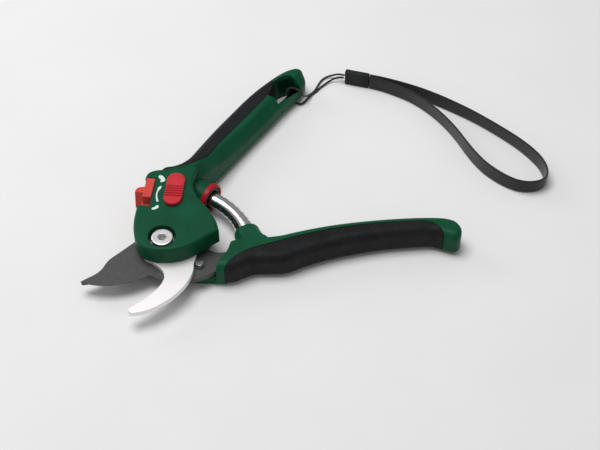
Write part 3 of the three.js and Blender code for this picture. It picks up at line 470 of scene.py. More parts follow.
# ------------------------------------------------------------------ wrist strap
CORD_ROUTE = np.array([
    [102.6, 151.3, 5.4], [99, 153.6, 4], [95.5, 155, 2], [92, 154.6, 1], [89, 152.2, 0.8],
    [87, 148.8, 0.8], [85.5, 145.2, 0.8], [84, 141.4, 1.2], [81.6, 137.4, 2.2], [79.2, 133.4, 4.2],
    [77.6, 131.2, 6.2], [75.9, 130, 8.3], [74.3, 131.1, 10.5], [71.6, 132.4, 11.3], [68.9, 133.8, 10.5],
    [67.4, 134.8, 8], [67.2, 134.7, 4.4], [68.6, 133.4, 1.9], [71, 131.6, 1], [73.5, 129.9, 1.1],
    [75.8, 129.7, 1], [77.8, 131.8, 0.9], [80, 135.6, 0.9], [82.8, 139, 0.8], [85.4, 141.8, 0.8],
    [87.6, 144.8, 0.8], [90, 147.4, 0.8], [93, 150, 1.2], [96.2, 151.2, 2.4], [99.4, 150.8, 4],
    [102.2, 149.9, 4.6]])
WEBBING_ROUTE = np.array([
    [118.5, 147.2], [124, 145.6], [130, 143.5], [140, 139.4], [150, 134.6], [160, 128.8], [170, 122.1],
    [180, 114.7], [190, 106.1], [200, 96.6], [207, 89], [213, 81], [217, 73.4], [218.6, 66],
    [217.7, 60.2], [213.9, 56.6], [207.5, 55.2], [201, 56.4], [195, 59.8], [189, 64.8], [183, 71.5],
    [178, 79.5], [174, 87.5], [169.5, 97.5], [165, 106], [160, 113.8], [154, 121.6], [147, 128.9],
    [140, 134.5], [130, 140.4], [124, 143.2], [118.2, 145.3]])
WEBBING_LOW, WEBBING_WIDTH, WEBBING_HALF = 0.2, 9.4, 0.6
CORD_RADIUS, CORD_SIDES = 0.6, 14
CONNECTOR_SEAT = (110.6, 148.6), 15.8  # place in plan, and clockwise tilt in degrees


def add_weave(made, rows, count, along, around):
    """A UV map in metres: V along the route, U around the section; the seam column wraps forward."""
    mesh = made.data
    index = np.zeros(len(mesh.loops), int)
    mesh.loops.foreach_get("vertex_index", index)
    row, column = index // count, index % count
    start = np.zeros(len(mesh.polygons), int)
    total = np.zeros(len(mesh.polygons), int)
    mesh.polygons.foreach_get("loop_start", start)
    mesh.polygons.foreach_get("loop_total", total)
    face = np.repeat(np.arange(len(total)), total)
    widest = np.maximum.reduceat(column, start)[face]
    wrapped = np.where((widest == count - 1) & (column == 0), count, column)
    uv = np.stack([around[np.clip(wrapped, 0, count)], along[np.clip(row, 0, rows - 1)]], 1) * MM
    mesh.uv_layers.new(name="weave").data.foreach_set("uv", uv.astype(np.float32).ravel())


def run_length(path):
    """Distance run along a path at each of its points."""
    return np.concatenate([[0], np.cumsum(np.linalg.norm(np.diff(path, axis=0), axis=1))])


def add_cord():
    """A round tube carried along the route.

    Its side direction is the tangent crossed with one fixed slanting direction, and its other
    direction is at right angles to both."""
    path = smooth_path(CORD_ROUTE, 0.5)
    tangent = unit(np.gradient(path, axis=0))
    side = unit(np.cross(tangent, [0.3, 0.4, 0.9]))
    rise = np.cross(side, tangent)
    turn = np.arange(CORD_SIDES) * 2 * math.pi / CORD_SIDES
    rings = path[:, None] + CORD_RADIUS * (np.cos(turn)[None, :, None] * side[:, None]
                                           + np.sin(turn)[None, :, None] * rise[:, None])
    cord = skin("cord", rings)
    around = np.arange(CORD_SIDES + 1) * CORD_RADIUS * 2 * math.pi / CORD_SIDES
    add_weave(cord, len(path), CORD_SIDES, run_length(path), around)
    piece(cord, "strap_cord", "root", CORD, ["cord_loop"], sharp=80)
    return cord, path


def add_webbing():
    """A flat strap on edge: an oblong section with rounded edges, carried along the plan route.

    On the way the upper edge leans to one side and the lower edge to the other, by up to a third of
    a millimetre, in a sine wave that dies out at both ends."""
    path = smooth_path(WEBBING_ROUTE, 0.9)
    normal = leftward(unit(np.gradient(path, axis=0)))
    turn = np.linspace(0, math.pi, 7)
    half = WEBBING_WIDTH / 2 - WEBBING_HALF
    levels = np.linspace(-half, half, 15)[1:-1]
    top = np.stack([WEBBING_HALF * np.cos(turn), half + WEBBING_HALF * np.sin(turn)], 1)
    flat = np.full(len(levels), WEBBING_HALF)
    section = np.vstack([top, np.column_stack([-flat, levels[::-1]]), -top,
                         np.column_stack([flat, levels])])
    run = run_length(path)
    sway = 0.3 * np.sin(run / 17) * np.sin(math.pi * run / run[-1])
    middle = WEBBING_LOW + WEBBING_WIDTH / 2
    lean = section[None, :, 1] / half * sway[:, None]
    across = section[None, :, 0] + lean
    rings = np.concatenate([
        path[:, None] + across[..., None] * normal[:, None],
        np.broadcast_to(middle + section[None, :, 1:2], (len(path), len(section), 1))], -1)
    around = run_length(np.vstack([section, section[:1]]))
    strap = skin("strap", rings)
    add_weave(strap, len(path), len(section), run, around)
    piece(strap, "strap_webbing", "root", WEBBING, ["wrist_strap"], sharp=80)
    return strap, np.column_stack([path, np.full(len(path), middle)])


def add_connector():
    """A moulded clip: an oblong block with rounded edges and two notches down each long side."""
    half_length, half_width, rounding = 7.7, 1.9, 0.9
    steps = np.linspace(0, math.pi / 2, 5)
    quarter = np.stack([np.cos(steps), np.sin(steps)], 1) * rounding
    turns = [(1, 1, quarter), (-1, 1, quarter[::-1] * [-1, 1]), (-1, -1, -quarter),
             (1, -1, quarter[::-1] * [1, -1])]
    loop = np.vstack([[sx * (half_length - rounding), sy * (half_width - rounding)] + arc
                      for sx, sy, arc in turns])
    profile = edge_profile(0.05, 9.85, 0.8, 0.8)
    clip = plate("clip", turned_plan(loop, *CONNECTOR_SEAT), profile)
    grooves = [("cut", box_solid((x - 0.35, y - 0.3, LOW), (x + 0.35, y + 0.3, HIGH), *CONNECTOR_SEAT))
               for x in (-5.4, 5.4) for y in (-1.9, 1.9)]
    return piece(combine(clip, *grooves), "strap_clip", "root", BLACK_PLASTIC,
                 ["strap_connector"])


cord, cord_path = add_cord()
strap, strap_path = add_webbing()
clip = add_connector()


# ------------------------------------------------------------------ handles
# Upper handle: distance along, outer side, inner side, top height.
UPPER_TABLE = [
    [40, -33, -15, 24.38], [43, -32.6, -14, 24.38], [46, -29.8, -13.4, 24.38], [50, -27.2, -12.4, 24.38],
    [54, -26, -12.2, 24.3], [58, -25.6, -12.2, 24.0], [64, -26.6, -12.2, 22.8], [72, -28.4, -12.2, 20.7],
    [80, -29.8, -12.3, 19.2], [90, -31, -12.4, 18], [108, -31.9, -12.4, 17], [120, -32, -12.4, 17],
    [132, -31.4, -12.6, 17], [141, -30.2, -12.3, 17], [148, -29, -12, 17], [154, -27.4, -12, 17],
    [159, -25.4, -13.2, 16.7], [163, -22.8, -15.4, 15.8]]
# Lower handle: distance along, outer side, inner side.
LOWER_TABLE = [
    [28, -15.4, -3], [36, -15.6, 5], [40, -14.6, 6.8], [44.5, -12.2, 7.4], [50, -9.9, 7.8], [58, -9.6, 8.8],
    [65, -9.3, 10], [70, -7.9, 11.5], [76, -4.9, 13.3], [84, -1.6, 15.4], [92, 1.2, 17.2], [100, 3.5, 18.7],
    [110, 5.9, 20.2], [120, 7.9, 21.4], [130, 9.2, 22.3], [140, 10.2, 22.9], [147, 10.5, 23],
    [152, 9.3, 22.9], [157, 7.3, 22.2], [161, 6.4, 20.4], [164.4, 8.8, 16]]
RIDGE_SLOPE, RIDGE_DROP = 5.2, 6.5
NOSE = 2.6  # rounding of each handle's end


def stations(table, step, shrink):
    """The table as smooth curves read at even steps, then closer over the rounded nose.

    Over the nose the section shrinks by a quarter circle. Returns the distances, the table's other
    columns at them, and the inset at each."""
    path = smooth_path(table, step)
    turn = np.linspace(0, math.pi / 2, 9)
    first, last = path[0, 0] + shrink, path[-1, 0] - shrink
    along = path[:, 0]
    read = np.concatenate([[first], along[(along > first + 0.1) & (along < last - NOSE - 0.1)],
                           last - NOSE + NOSE * np.sin(turn)])
    size = np.concatenate([np.zeros(len(read) - len(turn)), NOSE * (1 - np.cos(turn))]) + shrink
    columns = [np.interp(read, along, column) for column in path.T[1:]]
    return read, columns, size


def rounded_sections(corners, steps=7):
    """Sections from corner points and reaches, (stations, corners, 3): each corner is the conic that
    touches both sides at its reach, which is a circle where the sides are square."""
    point, reach = corners[..., :2], corners[..., 2:]
    back, ahead = np.roll(point, 1, 1) - point, np.roll(point, -1, 1) - point
    start = point + back / np.linalg.norm(back, axis=-1, keepdims=True) * reach
    stop = point + ahead / np.linalg.norm(ahead, axis=-1, keepdims=True) * reach
    t = np.linspace(0, 1, steps)[:, None]
    weight = 2 * math.sqrt(0.5) * t * (1 - t)
    curve = ((1 - t) ** 2 * start[..., None, :] + weight * point[..., None, :] + t**2 * stop[..., None, :])
    curve /= (1 - t) ** 2 + weight + t**2
    return curve.reshape(len(corners), -1, 2)


def corner(across, up, reach):
    """One corner of every section: how far across, how high, and how far its rounding reaches."""
    return np.stack(np.broadcast_arrays(across, up, reach), -1)


def upper_frame(s, u):
    """Plan point at a distance along the upper handle's line and an offset across it."""
    c, d = math.cos(UPPER_ANGLE), math.sin(UPPER_ANGLE)
    return s * c + u * d, s * d - u * c


def upper_handle(shrink=0.0, step=1.2):
    """The upper handle: rounded sections with a slope between the top face and the inner side."""
    s, (outer, inner, top), size = stations(UPPER_TABLE, step, shrink)
    outer, inner, top, base = outer + size, inner - size, top - size, size
    reach = np.minimum(5.0, np.minimum(inner - outer, top - base) / 2.3)
    slope = np.minimum(RIDGE_SLOPE, (inner - outer) / 3)
    drop = np.minimum(RIDGE_DROP, (top - base) / 2.2)
    section = rounded_sections(np.stack([
        corner(outer, base, reach), corner(inner, base, reach * 0.9), corner(inner, top - drop, 1.6),
        corner(inner - slope, top, 1.3), corner(outer, top, reach)], 1))
    x, y = upper_frame(s[:, None], section[..., 0])
    return skin("tool", np.stack([x, y, section[..., 1]], -1))


FINGER_PITCH, FINGER_DEPTH, FINGER_LEAN = 3.0, 0.45, 0.9


def ramp(value, first, last):
    """0 at first and 1 at last, level at both ends: three t squared less two t cubed."""
    t = np.clip((value - first) / (last - first), 0, 1)
    return t**2 * (3 - 2 * t)


def ridge_relief(x, y, z, share):
    """Slanted finger grooves in the top face of the lower grip, in millimetres.

    They are a raised cosine of the distance along the handle less a part of the distance across it.
    They fade towards the seam, towards the other side, and at both ends of their length."""
    field = (ramp(x, 44, 56) * ramp(x, 128, 108) * ramp(share, 0.80, 0.70) * ramp(share, 0.30, 0.46)
             * ramp(z, 14.6, 16.2))
    wave = 0.5 + 0.5 * np.cos(2 * math.pi * (x - FINGER_LEAN * y) / FINGER_PITCH)
    return -FINGER_DEPTH * field * wave**1.5


def lower_handle(shrink=0.0, step=1.2, ridged=False):
    """The lower handle: rounded oblong sections along X, with more points across the top face."""
    x, (outer, inner), size = stations(LOWER_TABLE, step, shrink)
    outer, inner, base, top = outer + size, inner - size, size, LOWER_TOP - size
    reach = np.minimum(5.0, np.minimum(inner - outer, top - base) / 2.3)
    shares = np.linspace(0.9, 0.1, 9)
    face = [corner(outer + reach + (inner - outer - 2 * reach) * f, top, 0.05)
            for f in shares] if ridged else []
    section = rounded_sections(np.stack([
        corner(outer, base, reach), corner(inner, base, reach), corner(inner, top, reach), *face,
        corner(outer, top, reach)], 1))
    across, up = section[..., 0], section[..., 1]
    if ridged:
        share = (across - outer[:, None]) / (inner - outer)[:, None]
        up = up + ridge_relief(x[:, None], across, up, share)
    return skin("tool", np.stack([np.broadcast_to(x[:, None], across.shape), across, up], -1))


UPPER_SEAM = [[37, -42], [37.2, -35.5], [39.6, -31.3], [42.2, -28.5], [47.6, -23.8], [52, -20.6],
              [56, -18.6],
              [61, -17.2], [68, -17.6], [78, -19.4], [90, -20.6], [110, -21.2], [124, -21.5], [134, -22.2],
              [142, -25.5], [146, -31]]
LOWER_SEAM = [[32.6, -20], [34.5, -14.5], [38, -9.6], [45, -3.7], [52, -0.4], [60, 2.4], [70, 5.9],
              [80, 9.1],
              [90, 11.7], [100, 13.9], [110, 15.6], [120, 16.9], [130, 17.7], [140, 18.2], [147, 17.7],
              [151.5, 14.5], [154, 10], [154.8, 3]]


def upper_grip_plan(grow):
    """Plan of the upper grip's side of the seam, moved by grow towards the inner side."""
    seam = smooth_path(UPPER_SEAM, 1.5) + [0, grow]
    plan = np.vstack([seam, [[148, -45], [37, -45]]])
    return np.stack(upper_frame(plan[:, 0], plan[:, 1]), 1)


def lower_grip_plan(grow):
    """Plan of the lower grip's side of the seam, moved out by grow at right angles to it."""
    seam = smooth_path(LOWER_SEAM, 1.5)
    seam = seam + grow * leftward(unit(np.gradient(seam, axis=0)))
    return np.vstack([seam, [[seam[-1, 0], -40], [seam[0, 0], -40]]])[::-1]


# ------------------------------------------------------------------ head
RIGHT_WAIST = [[25, 19], [22, 23.6], [19, 28], [16.8, 32], [15.2, 36], [14.6, 40]]
LEFT_SIDE = [[-7, 50.2], [-11, 48], [-13, 41], [-14.6, 30], [-15.8, 19], [-16.3, 12], [-15.9, 5],
             [-14.6, -1],
             [-12.4, -5], [-9, -8.2], [-5, -9.8], [0, -10.2], [5, -10], [10, -8.8]]
HEAD_SIDES = [[30.6, 5], [29.4, 10], [27.4, 15], *RIGHT_WAIST, [15.2, 44], [16, 48.4], [16.8, 52.6],
              [12.6, 54.4], [7, 52.7], [0, 51], *LEFT_SIDE, [15, -6.5], [20, -3.2], [25, 0.8], [30.6, 5]]
COVER_SIDES = [[25.8, 14.6], *RIGHT_WAIST, [15.4, 44], [17.6, 48.4]]
COVER_REAR = [[17.6, 48.4], [7, 52.7], [0, 51], [-7, 50.2]]
COVER_LEFT = [*LEFT_SIDE, [14, -6.5], [17, -2], [19.6, 2.5], [23, 8.4], [25.8, 14.6]]
LATCH_SEAT = (-9.7, 35.6), 6.6  # place in plan, and clockwise tilt in degrees
SELECTOR_SEAT = (4.8, 33.6), 4.8
SCREWS = [[12.4, 31], [8, 45.4], [-7.4, 47.2]]
HOOK_PINS = [[-4.6, 17.4], [7.4, 17.4]]
TAIL_EYE = [[131, -23], [134.5, -25.4], [145, -25], [151, -22.6], [153, -19.8], [151.6, -17.2],
            [132, -17.2]]


def head_loop():
    """Plan of the head."""
    return outline(HEAD_SIDES)


def cover_loop(grow=0.0):
    """Plan of the lower cover, moved outwards by grow."""
    loop = outline(COVER_SIDES, COVER_REAR, COVER_LEFT)
    return inset(loop, -grow) if grow else loop


def upper_block(low_s, high_s, low_u, high_u, low, high):
    """A block squared to the upper handle's line."""
    s, u = np.array([low_s, high_s, high_s, low_s]), np.array([low_u, low_u, high_u, high_u])
    x, y = upper_frame(s, u)
    return prism(np.stack([x, y], 1)[::-1], low, high)


def eye_tool():
    """The strap eye's plan with rounded corners, through the whole tail."""
    plan = smooth_path(TAIL_EYE, 0.8, closed=True)
    return prism(np.stack(upper_frame(plan[:, 0], plan[:, 1]), 1)[::-1])


def latch_window():
    """The opening in the head's left edge that the latch's thumb tab slides in."""
    return box_solid((-20, -13.4, 10.4), (2.8, 8.1, HIGH), *LATCH_SEAT)


def soft_hole(x, y, radius, low, high, flare=0.5):
    """A round hole whose mouth opens by a small chamfer."""
    return post(x, y, [(radius, low), (radius, high - flare), (radius + flare, high + 0.05),
                       (radius + flare, HIGH)])


def cylinder(x, y, radius, low, high):
    """An upright round solid between two heights."""
    return post(x, y, [(radius, low), (radius, high)], 40)


def add_upper_shell():
    """Head, boss and upper handle in one shell, with the openings for bolt, latch, selector and cord."""
    wall = combine(prism(head_loop(), BLADE_BOTTOM, HEAD_BOTTOM + 1), ("cut", prism(cover_loop(-1.3))),
                   ("keep", box_solid((-60, 14, LOW), (-2, 60, HIGH))))
    heel = combine(prism(head_loop(), BLADE_BOTTOM, HEAD_BOTTOM + 1),
                   ("keep", box_solid((-3.4, 27.5, LOW), (60, 100, HIGH))))
    core = combine(upper_handle(), ("cut", prism(upper_grip_plan(SEAM))),
                   ("join", upper_handle(GRIP_WALL + SEAM)))
    boss_profile = [(8.3, 3.5), (8.3, 8.5), (8.5, 11), (8.0, 11.9), (6, 12.4)]
    shell = plate("shell", head_loop(), edge_profile(HEAD_BOTTOM, HEAD_TOP, 0.8, 1.7, 8))
    steps = [("join", core), ("join", wall), ("join", heel)]
    steps += [("join", cylinder(x, y, SCREW_POST, BLADE_BOTTOM, HEAD_BOTTOM + 1)) for x, y in SCREWS]
    steps += [("join", seat_solid("boss", COLLAR_ANGLE, 1, boss_profile)),
              ("join", seat_solid("spigot", COLLAR_ANGLE, 1, [(6.8, 0.6), (6.8, 5.2)])),
              ("cut", prism(cover_loop(0.3), LOW, BLADE_BOTTOM)),
              ("cut", seat_solid("socket", COLLAR_ANGLE, 1,
                                 [(SOCKET_RADIUS, -5), (SOCKET_RADIUS, SOCKET_DEPTH)])),
              ("cut", eye_tool()),
              ("cut", upper_block(131.6, 152.4, -18.4, -5, 9.5, HIGH)),
              ("cut", upper_block(146.8, 152.2, -18.4, -5, LOW, 3)),
              ("cut", cylinder(0, 0, BOLT_HOLE, LOW, HIGH)),
              ("cut", soft_hole(0, 0, BOLT_RECESS, RECESS_FLOOR, HEAD_TOP)),
              ("cut", latch_window()),
              ("cut", box_solid((-3.8, -14.7, BLADE_BOTTOM), (3.8, 8.7, POCKET_TOP), *LATCH_SEAT)),
              ("cut", box_solid((-4.2, -14, HEAD_BOTTOM), (4.2, 9, POCKET_TOP), *SELECTOR_SEAT)),
              ("cut", box_solid((-2.5, -12, POCKET_TOP - 1), (2.5, 7, HIGH), *SELECTOR_SEAT))]
    steps += [("cut", cylinder(x, y, SCREW_HOLE, LOW, SCREW_HOLE_TOP)) for x, y in SCREWS]
    steps += [("cut", cylinder(x, y, 2.2, LOW, 16.6)) for x, y in HOOK_PINS]
    return piece(combine(shell, *steps), "upper_shell", "root", GREEN, ["upper_body"])


def add_upper_grip():
    """The soft skin of the upper handle on its side of the seam, cut back round the head."""
    grip = combine(upper_handle(step=0.8), ("keep", prism(upper_grip_plan(-SEAM))),
                   ("cut", upper_handle(GRIP_WALL)),
                   ("cut", prism(inset(head_loop(), -SEAM * 2), 6.3, HIGH)),
                   ("cut", prism(cover_loop(0.3), LOW, BLADE_BOTTOM)), ("cut", latch_window()))
    return piece(grip, "upper_soft_grip", "root", RUBBER, ["upper_grip"])


def add_cover():
    """The lower cover: a plate with a rounded lower edge and its holes, cut clear of the boss."""
    cover = plate("cover", cover_loop(), edge_profile(0, COVER_TOP, 1.2, 0.3))
    nut = post(0, 0, [(NUT_POCKET, LOW), (NUT_POCKET, NUT_POCKET_TOP)], 6)
    steps = [("cut", cylinder(0, 0, BOLT_HOLE, LOW, HIGH)), ("cut", nut),
             ("cut", seat_solid("room", COLLAR_ANGLE, 1, [(9.3, -6), (9.3, 11.3)]))]
    steps += [("cut", cylinder(x, y, SCREW_HOLE, LOW, HIGH)) for x, y in SCREWS]
    steps += [("cut", cylinder(x, y, SCREW_HEAD_HOLE, LOW, SCREW_HEAD_TOP)) for x, y in SCREWS]
    return piece(combine(cover, *steps), "lower_cover", "root", GREEN, ["bottom_cover"])


def add_collar():
    """The red spring collar: a ring with straight walls and a half-round face."""
    bore, rim, depth, face = 7.1, 9.0, 3.2, 1.0
    middle, half = 8.05, 0.95
    dome = [(middle + half * -math.cos(a), face - face * math.sin(a)) for a in np.linspace(0, math.pi, 9)]
    rings = lathe_rings([(bore, depth), *dome, (rim, depth)], 72)
    collar = skin("collar", on_spring_circle(rings, COLLAR_ANGLE, 1), closed=True)
    return piece(collar, "collar_ring", "root", DARK_RED, ["spring_collar"], sharp=50)


# ------------------------------------------------------------------ blades
RIM_RADIUS, CATCH_RADIUS = 14.2, 18
BEVEL = 3.0  # width of the ground edge in plan
TANG_INNER = [[74, 8.6], [64, 6.4], [52, 3.6], [40, 2], [34, 1], [29.5, 0.6], [25, 2.2], [19, 6.2]]
TANG_OUTER = [[28, -13.8], [32, -10.7], [38, -6.6], [46, -4.2], [60, -2.4], [74, 2.6]]
SPINE = [[-13.4, 9.9], [-15.6, 9.2], [-17.4, 7.6], [-20.4, 4.6], [-25, 0], [-29.4, -4.4], [-31.2, -7.4],
         [-33.2, -11.6], [-36, -14.8], [-40, -17.6], [-44, -20.4]]
EDGE = [[-44, -20.4], [-40, -21.9], [-35.4, -22.9], [-30, -23.2], [-25, -22.7], [-20, -21.7], [-15, -20.1],
        [-10, -17.8], [-6.2, -15.6]]
HEEL = [[-6.2, -15.6], [-4.6, -16.4], [-2, -18], [1.3, -19.2], [8, -19.8], [16, -19], [22, -17.1],
        [28, -13.8]]
RIVETS = [[50, -0.4], [68, 4.4]]
STOP_PIN = [20.2, -9.4]


def arc(first, last, radius, count):
    """Points on a circle about the pivot, between two polar angles in degrees."""
    a = np.radians(np.linspace(first, last, count))
    return np.stack([radius * np.cos(a), radius * np.sin(a)], 1)


def blade_loop():
    """The blade's outline, with 1 at the points of the cutting edge and 0 at the others.

    The rim is a circle about the pivot, with the catch tooth standing out of it."""
    catch = np.vstack([arc(106, 106, RIM_RADIUS, 1), arc(108, 116, CATCH_RADIUS, 3),
                       arc(118, 118, RIM_RADIUS, 1)])
    rim = np.vstack([arc(32, 106, RIM_RADIUS, 30)[:-1], catch, arc(118, 138, RIM_RADIUS, 8)[1:-1]])
    runs = [smooth_path(TANG_INNER, 1)[:-1], rim, outline(SPINE), outline(EDGE), outline(HEEL),
            smooth_path(TANG_OUTER, 1)]
    keen = np.concatenate([np.full(len(run), float(k == 3)) for k, run in enumerate(runs)])
    return np.vstack(runs), keen


def add_cutting_blade():
    """A plate whose cutting edge is ground from below: there the lower inset grows to a bevel."""
    loop, keen = blade_loop()
    width = np.convolve(np.pad(keen, 4, mode="wrap"), np.ones(9) / 9, "valid") * keen
    profile = [(0.25 + (BEVEL + 0.1) * width, BLADE_BOTTOM), (0.1 + BEVEL * width, BLADE_BOTTOM + 0.15),
               (0.08 * width, BLADE_TOP - 0.3), (0, BLADE_TOP - 0.15), (0.15, BLADE_TOP)]
    profile = [(np.broadcast_to(d, len(loop)), z) for d, z in profile]
    blade = plate("blade", loop, profile)
    steps = [("cut", cylinder(0, 0, BUSH_HOLE, LOW, HIGH)),
             ("cut", cylinder(*STOP_PIN, STOP_PIN_HOLE, LOW, HIGH))]
    steps += [("cut", cylinder(x, y, 2.4, LOW, HIGH)) for x, y in RIVETS]
    return piece(combine(blade, *steps), "moving_blade", "lever", COATED, ["cutting_blade"],
                 sharp=20)


HOOK_INNER = [[-12.2, 6], [-11.6, -2], [-9.6, -6], [-6, -8.6], [-3, -11], [-0.2, -14], [1.3, -17],
              [1.7, -20],
              [0.6, -24], [-2, -28.2], [-6, -32.6], [-10, -36.4], [-13, -38.9], [-15.2, -40.4]]
HOOK_TIP = [[-15.2, -40.4], [-15.9, -42], [-15.2, -43.6], [-13.4, -44.4]]
HOOK_OUTER = [[-13.4, -44.4], [-8, -43.3], [-3, -41.1], [0, -39.3], [5, -35.4], [10, -30.1], [14, -24.1],
              [16.5, -18],
              [17.3, -14], [17.2, -10], [18.2, -4], [17.4, 2], [13.6, 14], [11.4, 24.5]]


def add_hook():
    """The fixed counter-blade: a bright plate with eased edges and holes for bush and pins."""
    loop = np.vstack([smooth_path(HOOK_INNER, 0.8)[:-1], smooth_path(HOOK_TIP, 0.4)[:-1],
                      smooth_path(HOOK_OUTER, 0.8), [[-8.4, 24.5]]])
    hook = plate("hook", loop, edge_profile(HOOK_BOTTOM, HOOK_TOP, 0.15, 0.35, 4))
    steps = [("cut", cylinder(0, 0, BUSH_HOLE, LOW, HIGH))]
    steps += [("cut", cylinder(x, y, 2.1, LOW, HIGH)) for x, y in HOOK_PINS]
    return piece(combine(hook, *steps), "fixed_hook_blade", "root", HOOK_STEEL,
                 ["counter_blade"])


def add_bolt():
    """The pivot bolt: an eased flat head with a six-sided socket over a plain shank."""
    seat, top = 20.5, 23.5
    turn = np.linspace(0, math.pi / 2, 6)
    edge = [(5.2 + 0.8 * math.cos(a), top - 0.5 + 0.5 * math.sin(a)) for a in turn]
    bolt = post(0, 0, [(4, 1.5), (4, seat), (5.8, seat), (6, seat + 0.2), *edge, (4.9, top)], 96)
    socket = post(0, 0, [(2.3, seat - 3.0), (2.3, top - 0.3), (2.8, top + 0.02), (2.8, HIGH)], 6)
    return piece(combine(bolt, ("cut", socket)), "pivot_screw", "root", BOLT_STEEL,
                 ["pivot_bolt"], sharp=28)


# ------------------------------------------------------------------ lower handle
FRONT_ARC = [[20, 20], [37.4, 14], [37.2, 6], [36.4, 0.6], [34.8, -4.6], [32.2, -8.2], [30.2, -12.2],
             [28.8, -17.4],
             [20, -24], [10, 0]]
FRONT_LOW = [[33, 20], [33, -4], [30, -8], [26, -24], [0, -24], [0, 20]]
TONGUE = [[12.6, -14.2], [36, -14.6], [40, -2], [31, -4.6], [22, -9.4], [15, -12.6]]


def front_loop():
    """Plan of the cut that leaves the handle's concave front: smooth where it shows, straight behind."""
    curve = smooth_path(FRONT_ARC[1:8], 0.8)
    return np.vstack([[FRONT_ARC[0]], curve, FRONT_ARC[8:]])[::-1]


def tang_tool():
    """The slot that holds the tang, a little larger all round."""
    inner = np.array(TANG_INNER) + [0, 0.2]
    outer = np.vstack([[[22, -17.1]], TANG_OUTER]) - [0, 0.2]
    inner[0, 0] = outer[-1, 0] = 74.5
    return prism(np.vstack([inner, outer]), BLADE_BOTTOM - 0.15, BLADE_TOP + 0.15)


def add_lower_shell():
    """The lower handle's shell with its tongue and the spring cup, whose foot flares into the handle."""
    cup = [(6.5, 0), (7.0, 0.25), (7.2, 0.8), (7.5, 4), (8.0, 7), (8.9, 9.5), (10.2, 11.5), (10.2, 14.5),
           (8, 18)]
    core = combine(lower_handle(), ("cut", prism(lower_grip_plan(SEAM))),
                   ("join", lower_handle(GRIP_WALL + SEAM)))
    tongue = combine(plate("tongue", np.array(TONGUE, float), edge_profile(0.6, 6.0, 0.8, 0.8, 5)),
                     ("cut", prism(lower_grip_plan(SEAM))))
    cup_solid = combine(seat_solid("cup", CUP_ANGLE, -1, cup),
                        ("keep", box_solid((0, 0, 0.4), (100, 60, LOWER_TOP - 0.15))),
                        ("cut", prism(lower_grip_plan(SEAM))))
    socket = seat_solid("socket", CUP_ANGLE, -1,
                        [(5.9, -3), (5.9, 0.0), (SOCKET_RADIUS, 0.4), (SOCKET_RADIUS, SOCKET_DEPTH)])
    steps = [("cut", prism(front_loop(), 4.6)), ("cut", prism(np.array(FRONT_LOW, float)[::-1], LOW, 4.7)),
             ("join", tongue),
             ("join", cup_solid), ("cut", socket), ("cut", tang_tool())]
    steps += [("cut", cylinder(x, y, 2.5, 4, 14)) for x, y in RIVETS]
    return piece(combine(core, *steps), "lower_shell", "lever", GREEN, ["lower_body"])


def add_lower_grip():
    """The soft skin of the lower handle on its side of the seam, with its finger ridges."""
    grip = combine(lower_handle(step=0.5, ridged=True), ("keep", prism(lower_grip_plan(-SEAM))),
                   ("cut", lower_handle(GRIP_WALL)))
    return piece(grip, "lower_soft_grip", "lever", RUBBER, ["lower_grip"], sharp=50)


# ------------------------------------------------------------------ latch and selector
def add_latch():
    """The safety latch: a bar over a carrier and a long foot, with a thumb tab at the head's side.

    The tab's plan changes evenly from its foot to its top, which leaves its face sloping."""
    bar = plate("bar", turned_plan([[-2.5, -7.2], [2.5, -7.2], [2.5, 7.2], [-2.5, 7.2]], *LATCH_SEAT),
                edge_profile(18, 25, 0, 0.5, 5))
    top = turned_plan([[-1.5, 1.2], [-5.4, 0.2], [-6.6, -0.7], [-7.2, -2.0], [-7.2, -3.9], [-4.6, -3.9],
                       [-1.5, -3.9]], *LATCH_SEAT)
    foot = turned_plan([[-1.5, 0.8], [-5.2, -0.4], [-6.2, -1.4], [-7.0, -3.6], [-7.0, -6.8], [-4.6, -6.5],
                        [-1.5, -6.1]], *LATCH_SEAT)
    levels = [(foot, 0.5, 14.0), (foot, 0, 14.5), (top, 0, 24.0), (top, 0.2, 24.35), (top, 0.55, 24.5)]
    tab = skin("tab", np.array([np.column_stack([inset(loop, d) if d else loop, np.full(len(loop), z)])
                                for loop, d, z in levels]))
    parts = [("join", tab),
             ("join", box_solid((-3.4, -8.2, 13.7), (3.4, 7.8, 18.7), *LATCH_SEAT)),
             ("join", box_solid((-1.8, -19.6, 6.8), (1.6, -5, 9.6), *LATCH_SEAT)),
             ("join", box_solid((-1.8, -8.2, 6.8), (1.6, -5, 14.4), *LATCH_SEAT))]
    return piece(combine(bar, *parts), "latch_button", "latch", LATCH_RED, ["latch_slide"])


def stadium(width, length):
    """A bar with half-round ends, long side along Y."""
    turn = np.linspace(0, math.pi, 17)
    radius, reach = width / 2, length / 2 - width / 2
    end = np.stack([radius * np.cos(turn), reach + radius * np.sin(turn)], 1)
    return np.vstack([end, -end])


